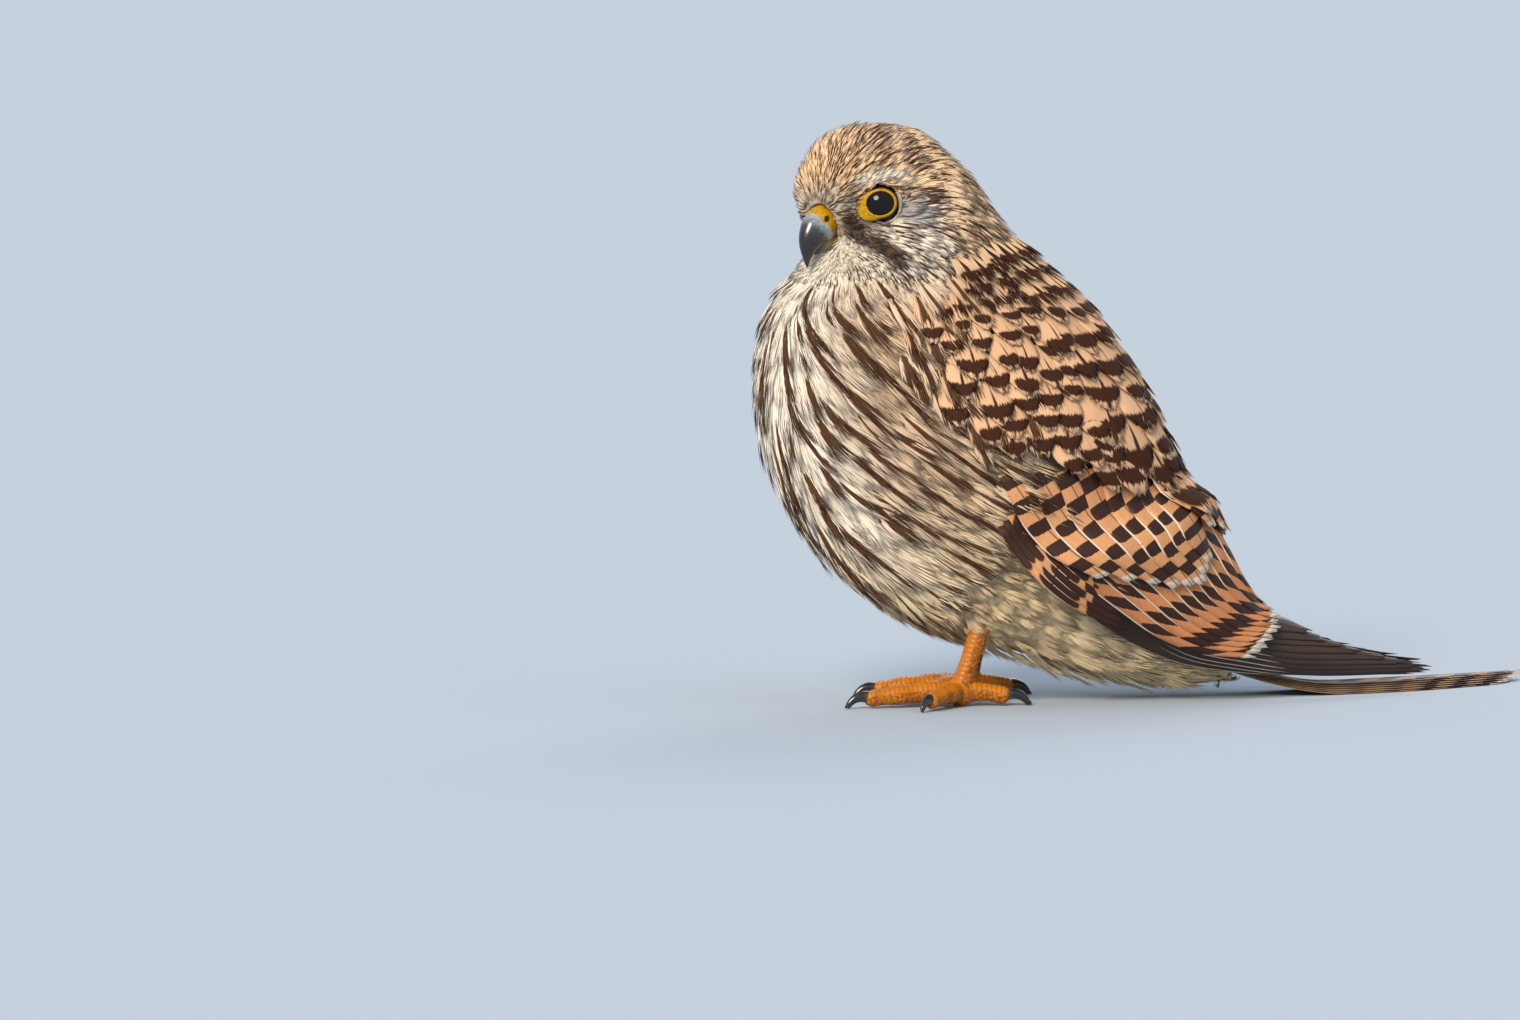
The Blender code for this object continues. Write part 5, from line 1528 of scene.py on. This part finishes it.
class KESTREL_OT_tail(bpy.types.Operator):
    """The twelve tail feathers"""

    bl_idname = "kestrel.tail"
    bl_label = "Tail feathers"

    def execute(self, context):
        wing = context.scene.kestrel_wing
        rng = np.random.default_rng(71)
        finish = firm_feather_finish("barred tail feathers", 10.0, 0.5, -0.35, 0.04, 0.015)
        plumage = Plumage()
        for side in (-1, 1):
            pair = np.arange(TAIL_PAIRS)
            level = (TAIL_PAIRS - 1 - pair) * TAIL_LAYER + VANE / 2 + (side > 0) * TAIL_LAYER / 2
            length = TAIL_LENGTH - 1.6 * pair**1.35

            def place(t, x, h, side=side, pair=pair, level=level, length=length):
                s = -6.0 + each(length + 6.0, t) * t
                wide = 6.4 + each(pair, t) * (0.75 + 1.05 * blend(0.0, 1.0, t))
                share = (x / 4.0 + 1.0) / 2.0
                middle = -4.6 + 1.2 * each(pair, t)
                return tail_points(s, side * (middle + (wide - middle) * share), each(level, t) + h)

            data = tier_data(TAIL_PAIRS, side, wing.tail, rng, 12.0, (80, 10))
            add_vanes(plumage, place, data, np.full(TAIL_PAIRS, 4.0), rng, rows=24, camber=0.1, shaft=0.3,
                      root_share=1.0, point=0.35)
        plumage.build("tail_feathers", finish, ("tail",))
        return {"FINISHED"}


class KESTREL_OT_eyes(bpy.types.Operator):
    """The eyes, the bare yellow ring round each, and a dark line of painted shade where the feathers meet the ring"""

    bl_idname = "kestrel.eyes"
    bl_label = "Eyes"

    def execute(self, context):
        bare = context.scene.kestrel_bare
        surface, _ = skin_parts()
        wet = eye_finish()
        ring_finish = waxy_finish("yellow eye ring", tuple(bare.cere), linear("#8A6208"), 1500.0)
        # A dark line round the ring's outer edge, where the feathers meet it: painted shade of that seam.
        seam_shade_finish = waxy_finish("painted seam shade", linear("#3B3028"), linear("#1F1814"), 1500.0, rough=0.6)
        turns = np.linspace(0.0, 2 * math.pi, 61)[:-1]
        for side, word in ((-1, "right"), (1, "left")):
            centre, look, to_bill, up = eye_place(side)
            bm = bmesh.new()
            bmesh.ops.create_uvsphere(bm, u_segments=48, v_segments=32, radius=EYE_RADIUS)
            bmesh.ops.transform(bm, matrix=HEAD_TO_SCENE @ Matrix.Translation(centre), verts=bm.verts)
            piece_of(f"eyeball_{word}", bm, wet, (f"eye_{word}",))
            inner, outer = [], []
            for turn in turns:
                reach = 4.3 * 3.8 / math.hypot(3.8 * math.cos(turn), 4.3 * math.sin(turn))
                way = to_bill * math.cos(turn) + up * math.sin(turn)
                inner.append(centre + way * reach + look * (math.sqrt(EYE_RADIUS**2 - reach**2) + 0.2))
                outer.append(centre + way * float(ring_reach(turn)) + look * 3.4)
            found, _ = surface.settle(np.array([on_head(*p) for p in outer]))
            deep = (in_head(found) - np.array(centre)) @ np.array(look) + 0.7
            deep = np.clip(deep, 2.2, 4.6)
            for _ in range(12):
                deep = (np.roll(deep, 1) + deep + np.roll(deep, -1)) / 3
            outer = [p + look * (float(d) - 3.4) for p, d in zip(outer, deep)]
            # lid holds the sections of a dark tube of painted seam shade round the ring's outer edge.
            band, lid = [], []
            for i in range(len(turns)):
                across = outer[i] - inner[i]
                along = (outer[(i + 1) % len(turns)] + inner[(i + 1) % len(turns)]) - (outer[i - 1] + inner[i - 1])
                middle = (outer[i] + inner[i]) / 2
                band.append(HEAD_TO_SCENE @ section(middle, along, across, across.length / 2, 0.35))
                lid.append(HEAD_TO_SCENE @ section(outer[i] - look * 0.15, along, across, 0.3, 0.4))
            bm = bmesh.new()
            sweep(bm, band + band[:1], 14)
            bmesh.ops.remove_doubles(bm, verts=bm.verts, dist=1e-5)
            piece_of(f"eye_ring_{word}", bm, ring_finish)
            # The dark tube of painted seam shade round the ring.
            bm = bmesh.new()
            sweep(bm, lid + lid[:1], 8)
            bmesh.ops.remove_doubles(bm, verts=bm.verts, dist=1e-5)
            piece_of(f"seam_shade_line_{word}", bm, seam_shade_finish)
        return {"FINISHED"}


# The bill's middle line in the head's frame: forward, up and half height.
UPPER_BILL = (
    (15.0, -6.2, 4.8), (19.5, -6.9, 5.4), (22.8, -8.3, 5.5), (24.9, -10.3, 4.8), (26.4, -12.5, 3.8),
    (27.3, -14.9, 2.6), (27.8, -17.4, 1.3), (27.9, -20.0, 0.25))
LOWER_BILL = (
    (13.5, -11.6, 2.4), (18.0, -12.6, 2.3), (21.0, -13.8, 1.9), (23.2, -15.1, 1.2), (24.6, -16.0, 0.5))
BILL_WIDE = 0.78
CERE_END = (25.0, -3.6)
CERE_SLOPE = math.radians(38.0)
CERE_FOOT = -9.4
NOSTRIL = (22.4, 3.7, -5.4)


def bill_sections(rows, first, last, count, grow=0.0):
    """Sweep sections along the bill's middle line, from place first to place last of its rows."""
    at = np.linspace(first, last, count)
    line = through(rows, at)
    ahead = through(rows, at + 0.02) - through(rows, at - 0.02)
    sections = []
    for (f, k, tall), (df, dk, _) in zip(line, ahead):
        wide = (tall + grow) * BILL_WIDE
        sections.append(HEAD_TO_SCENE @ section((f, 0, k), (df, 0, dk), (0, 1, 0), wide, tall + grow))
    return sections, list(at / (len(rows) - 1))


def slice_off(bm, place, way):
    """Cuts a closed mesh by a plane of the head's frame, and closes it where the part ahead of it was."""
    turned = (HEAD_TO_SCENE.to_3x3() @ Vector(way)).normalized()
    everything = bm.verts[:] + bm.edges[:] + bm.faces[:]
    cut = bmesh.ops.bisect_plane(
        bm, geom=everything, plane_co=HEAD_TO_SCENE @ Vector(place), plane_no=turned, clear_outer=True)
    edges = [g for g in cut["geom_cut"] if isinstance(g, bmesh.types.BMEdge)]
    bmesh.ops.holes_fill(bm, edges=edges, sides=0)


class KESTREL_OT_bill(bpy.types.Operator):
    """The hooked bill and the yellow cere with its nostrils"""

    bl_idname = "kestrel.bill"
    bl_label = "Bill and cere"

    def execute(self, context):
        bare = context.scene.kestrel_bare
        pale, base, tip = linear("#B4B6B0"), tuple(bare.bill_base), tuple(bare.bill_tip)
        horn = horn_finish("polished bill horn", base, tip, 0.25,
                           ((0.28, pale), (0.37, base), (0.46, linear("#34363A")), (0.60, tip)))
        bm = bmesh.new()
        sections, grown = bill_sections(UPPER_BILL, 0.6, 7.0, 44)
        sweep(bm, sections, 28, grown)
        piece_of("upper_bill", bm, horn, ("bill_upper",))
        bm = bmesh.new()
        sections, grown = bill_sections(LOWER_BILL, 0.0, 4.0, 18)
        sweep(bm, sections, 20, grown)
        piece_of("lower_bill", bm, horn_finish("lower bill horn", base, tip, 0.3,
                 ((0.0, tuple(bare.cere)), (0.35, linear("#A89C45")), (0.6, linear("#5A5B50")), (0.9, tip))),
                 ("bill_lower",))
        waxy = waxy_finish("yellow cere", tuple(bare.cere), linear("#9A6F0C"), 900.0)
        bm = bmesh.new()
        sections, grown = bill_sections(UPPER_BILL, 0.0, 3.6, 30, 0.4)
        sweep(bm, sections, 28, grown)
        slice_off(bm, (CERE_END[0], 0.0, CERE_END[1]), (math.cos(CERE_SLOPE), 0.0, -math.sin(CERE_SLOPE)))
        slice_off(bm, (0.0, 0.0, CERE_FOOT), (0.0, 0.0, -1.0))
        for side in (-1, 1):
            place = Matrix.Translation((NOSTRIL[0], side * (NOSTRIL[1] - 0.1), NOSTRIL[2]))
            shape = HEAD_TO_SCENE @ place @ Matrix.Diagonal((1.9, 0.9, 1.7, 1.0))
            bmesh.ops.create_uvsphere(bm, u_segments=24, v_segments=16, radius=1.0, matrix=shape)
            place = Matrix.Translation((15.6, side * 4.5, -10.6)) @ Matrix.Rotation(0.2, 4, "Y")
            shape = HEAD_TO_SCENE @ place @ Matrix.Diagonal((2.6, 0.7, 1.6, 1.0))
            bmesh.ops.create_uvsphere(bm, u_segments=20, v_segments=12, radius=1.0, matrix=shape)
        piece_of("cere_skin", bm, waxy, ("cere",))
        # Near-black egg shapes set into the cere at the nostrils: their colour is painted shade of the nostril holes.
        bm = bmesh.new()
        for side in (-1, 1):
            place = Matrix.Translation((NOSTRIL[0] + 0.2, side * (NOSTRIL[1] + 0.62), NOSTRIL[2]))
            shape = HEAD_TO_SCENE @ place @ Matrix.Diagonal((1.0, 0.4, 1.0, 1.0))
            bmesh.ops.create_uvsphere(bm, u_segments=16, v_segments=10, radius=1.0, matrix=shape)
        tree, shader, material = new_material("nostril", rough=0.6)
        shader.inputs["Base Color"].default_value = (0.01, 0.008, 0.006, 1.0)
        piece_of("nostrils", bm, material)
        return {"FINISHED"}


# The feet, as in the solids: where each stands, and where its bare shank ends in feathers.
LEG = {
    "left": dict(side=-1, foot=(-3.0, -15.0), hock=(6.0, -17.5, 34.0)),
    "right": dict(side=1, foot=(8.5, 15.0), hock=(16.5, 17.5, 31.0)),
}
# Each toe: its way from straight ahead towards the outside, its length, thickness and claw length.
TOES = {
    "inner": (-32.0, 19.0, 3.0, 10.5),
    "middle": (2.0, 29.5, 3.1, 10.0),
    "outer": (48.0, 21.0, 2.9, 8.5),
    "hind": (172.0, 14.0, 3.0, 11.0),
}
PADS = {"inner": 2.0, "middle": 3.0, "outer": 3.0, "hind": 1.0}


def toe_line(foot, side, degrees, length, thick, joints):
    """The middle line and radii of a toe, from the ankle to its rounded end, with a pad at each joint."""
    angle = math.radians(degrees)
    way = np.array((-math.cos(angle), side * math.sin(angle), 0.0))
    a = np.linspace(0.0, 1.0, 26)
    radii = thick * (1.13 - 0.30 * a + 0.07 * np.cos(2 * math.pi * joints * a)) * np.sqrt(
        1 - np.clip((a - 0.9) / 0.12, 0.0, 0.97) ** 2)
    height = np.maximum(4.4 + 0.7 * np.sin(math.pi * a) - 1.6 * a, radii + 0.12)
    path = np.array((*foot, 0.0)) + way * (0.6 + (length + 0.6) * a)[:, None]
    path[:, 2] = height
    return path, radii, way


def claw_line(end, way, length):
    """The middle line and radii of a claw, rooted in the toe: up, over and down to a fine point."""
    a = np.linspace(0.0, 1.0, 22)
    turn = np.radians(24.0 - 122.0 * a)
    step = (length + 1.6) / 21
    ahead = np.cumsum(np.cos(turn) * step) - 1.6
    rise = np.cumsum(np.sin(turn) * step)
    radii = 1.95 * (1 - a) ** 0.75 + 0.06
    path = end + way * ahead[:, None]
    path[:, 2] += rise + 0.35
    path[:, 2] += np.maximum(0.0, 0.08 - (path[:, 2] - radii))
    return path, radii


def sweep_line(bm, path, radii, sides, aside, squeeze=1.0):
    """A tube of the radii along the path, in mm in the bird's frame."""
    ahead = np.gradient(path, axis=0)
    share = list(np.linspace(0.0, 1.0, len(path)))
    sections = [TO_SCENE @ section(p, d, aside, r * squeeze, r) for p, d, r in zip(path, ahead, radii)]
    sweep(bm, sections, sides, share)


class KESTREL_OT_feet(bpy.types.Operator):
    """The scaled feet and their claws"""

    bl_idname = "kestrel.feet"
    bl_label = "Feet and claws"

    def execute(self, context):
        bare = context.scene.kestrel_bare
        scaly = scaly_finish()
        horn = horn_finish("polished claw horn", tuple(bare.claw), tuple(bare.claw), 0.2,
                           ((0.0, linear("#5A524C")), (0.25, tuple(bare.claw)), (1.0, tuple(bare.claw))))
        for word, leg in LEG.items():
            ankle, hock = np.array((*leg["foot"], 4.9)), np.array(leg["hock"])
            lines = [(ankle + (hock - ankle) * np.linspace(0.0, 0.75, 26)[:, None],
                      np.interp(np.linspace(0.0, 0.75, 26), (0.0, 0.12, 0.3, 0.75), (3.9, 3.2, 2.85, 3.2)))]
            bm, claws = bmesh.new(), bmesh.new()
            for name, (degrees, length, thick, claw) in TOES.items():
                path, radii, way = toe_line(leg["foot"], leg["side"], degrees, length, thick, PADS[name])
                lines.append((path, radii))
                aside = np.cross(way, (0.0, 0.0, 1.0))
                sweep_line(claws, *claw_line(path[-1], way, claw), 14, aside, 0.8)
            for path, radii in lines:
                sweep_line(bm, path, radii, 18, (0.3, 1.0, 0.0))
            place = TO_SCENE @ Matrix.Translation(Vector(ankle - np.array((0.0, 0.0, 0.5)))) @ Matrix.Scale(4.5, 4)
            bmesh.ops.create_uvsphere(bm, u_segments=20, v_segments=14, radius=1.0, matrix=place)
            piece_of(f"scaled_foot_{word}", scuted(bm, lines), scaly, (f"foot_{word}",))
            names = [f"claw_{word}_{toe}" for toe in TOES]
            piece_of(f"claws_{word}", claws, horn, names)
        return {"FINISHED"}


def scuted(bm, lines):
    """The joined foot with plates in a row on top of each toe and small round scales elsewhere."""
    mesh = bpy.data.meshes.new("foot")
    bmesh.ops.recalc_face_normals(bm, faces=bm.faces)
    bm.to_mesh(mesh)
    bm.free()
    joined = voxel_copy(mesh, 0.00032)
    bm = bmesh.new()
    bm.from_mesh(joined)
    relax(bm, 3)
    bm.normal_update()
    points = np.array([v.co for v in bm.verts]) / MM - SHIFT
    out = np.array([v.normal for v in bm.verts])
    nearest = np.full(len(points), np.inf)
    travel, above = np.zeros(len(points)), np.zeros(len(points))
    for number, (path, _) in enumerate(lines):
        long = np.concatenate(((0.0,), np.cumsum(np.linalg.norm(np.diff(path, axis=0), axis=1))))
        for i in range(len(path) - 1):
            way = path[i + 1] - path[i]
            share = np.clip((points - path[i]) @ way / (way @ way), 0.0, 1.0)
            off = points - (path[i] + share[:, None] * way)
            far = np.linalg.norm(off, axis=1)
            closer = far < nearest
            nearest = np.where(closer, far, nearest)
            travel = np.where(closer, long[i] + share * (long[i + 1] - long[i]), travel)
            front = -out[:, 0] if number == 0 else out[:, 2]
            above = np.where(closer, front, above)
    plate = blend(0.15, 0.55, above)
    wave = np.abs(np.sin(math.pi * travel / 1.5)) ** 0.5
    scales = np.array([min(0.9, 2.2 * (d[1] - d[0])) for d in (noise.voronoi(v.co * 900.0)[0] for v in bm.verts)])
    lift = 0.26 * plate * (wave - 0.6) + 0.2 * (1 - plate) * (scales - 0.4)
    lift = lift * blend(0.2, 1.4, points[:, 2])
    tone = plate * wave + (1 - plate) * scales
    layer = bm.verts.layers.float.new("tone")
    for v, d, shade in zip(bm.verts, lift, tone):
        v.co += v.normal * float(d) * MM
        v.co.z = max(v.co.z, (SHIFT[2] + 0.02) * MM)
        v[layer] = float(shade)
    return bm


class KESTREL_OT_stage(bpy.types.Operator):
    """The floor, the light and the camera"""

    bl_idname = "kestrel.stage"
    bl_label = "Stage"

    def execute(self, context):
        stage = context.scene.kestrel_stage
        bm = bmesh.new()
        bmesh.ops.create_circle(bm, cap_ends=True, segments=96, radius=12.0)
        mesh = bpy.data.meshes.new("floor")
        bm.to_mesh(mesh)
        bm.free()
        _, shader, material = new_material("painted floor", rough=0.9, specular=0.0)
        mesh.materials.append(material)
        floor = bpy.data.objects.new("floor", mesh)
        context.scene.collection.objects.link(floor)
        world = bpy.data.worlds.new("studio")
        context.scene.world = world
        world.use_nodes = True
        sky = np.array(stage.backdrop)
        world.node_tree.nodes["Background"].inputs["Color"].default_value = (*sky, 1.0)
        falling = sky.copy()
        for name, towards, size, power, code in LIGHTS:
            light = bpy.data.objects.new(name, bpy.data.lights.new(name, "SUN"))
            light.data.angle = math.radians(size)
            light.data.energy = power
            light.data.color = linear(code)
            light.rotation_euler = Vector(towards).to_track_quat("Z", "Y").to_euler()
            context.scene.collection.objects.link(light)
            falling += np.array(linear(code)) * power * max(0.0, Vector(towards).normalized().z) / math.pi
        shader.inputs["Base Color"].default_value = (*(sky / falling), 1.0)
        context.scene.view_settings.view_transform = "Standard"
        azimuth, elevation = stage.azimuth, stage.elevation
        right = Vector((math.cos(azimuth), math.sin(azimuth), 0.0))
        back = Vector((math.sin(azimuth) * math.cos(elevation), -math.cos(azimuth) * math.cos(elevation),
                       math.sin(elevation)))
        feet = Vector(SHIFT * MM)
        aside = (PHOTO_FRAME[0] / 2 - PHOTO_FEET[0]) / PHOTO_SCALE * MM
        above = (PHOTO_FEET[1] - PHOTO_FRAME[1] / 2) / PHOTO_SCALE * MM
        target = feet + right * aside + back.cross(right) * above
        camera = bpy.data.objects.new("camera", bpy.data.cameras.new("camera"))
        context.scene.collection.objects.link(camera)
        camera.location = target + back * stage.distance
        camera.rotation_euler = back.to_track_quat("Z", "Y").to_euler()
        camera.data.sensor_width = 36.0
        camera.data.lens = 36.0 * stage.distance / (PHOTO_FRAME[0] / PHOTO_SCALE * MM)
        camera.data.clip_start, camera.data.clip_end = 0.1, 50.0
        context.scene.camera = camera
        return {"FINISHED"}


# Each light: name, the way towards it, its size across in degrees, its power and its colour.
LIGHTS = (
    ("key", (-0.75, -1.0, 0.72), 25.0, 3.7, "#FFF4E4"),
    ("rim", (0.6, 1.0, 0.7), 30.0, 0.8, "#FFFFFF"),
)

STEPS = (
    KESTREL_OT_stage, KESTREL_OT_skin, KESTREL_OT_head_coat, KESTREL_OT_body_coat, KESTREL_OT_mantle,
    KESTREL_OT_wings, KESTREL_OT_tail, KESTREL_OT_eyes, KESTREL_OT_bill, KESTREL_OT_feet)
SETTINGS = (
    ("kestrel_coat", CoatSettings), ("kestrel_wing", WingSettings), ("kestrel_bare", BareSettings),
    ("kestrel_stage", StageSettings))


class KESTREL_PT_panel(bpy.types.Panel):
    """Buttons for each group of pieces"""

    bl_idname = "KESTREL_PT_panel"
    bl_label = "Kestrel"
    bl_space_type = "VIEW_3D"
    bl_region_type = "UI"
    bl_category = "Kestrel"

    def draw(self, context):
        for step in STEPS:
            self.layout.operator(step.bl_idname)


def register():
    """Registers the settings, the steps and the panel."""
    for name, group in SETTINGS:
        bpy.utils.register_class(group)
        setattr(bpy.types.Scene, name, bpy.props.PointerProperty(type=group))
    for step in (*STEPS, KESTREL_PT_panel):
        bpy.utils.register_class(step)


def unregister():
    """Takes them away again."""
    for step in reversed((*STEPS, KESTREL_PT_panel)):
        bpy.utils.unregister_class(step)
    for name, group in reversed(SETTINGS):
        delattr(bpy.types.Scene, name)
        bpy.utils.unregister_class(group)


def main():
    """Makes every piece in order."""
    register()
    for step in STEPS:
        family, name = step.bl_idname.split(".")
        getattr(getattr(bpy.ops, family), name)()


if __name__ == "__main__":
    main()
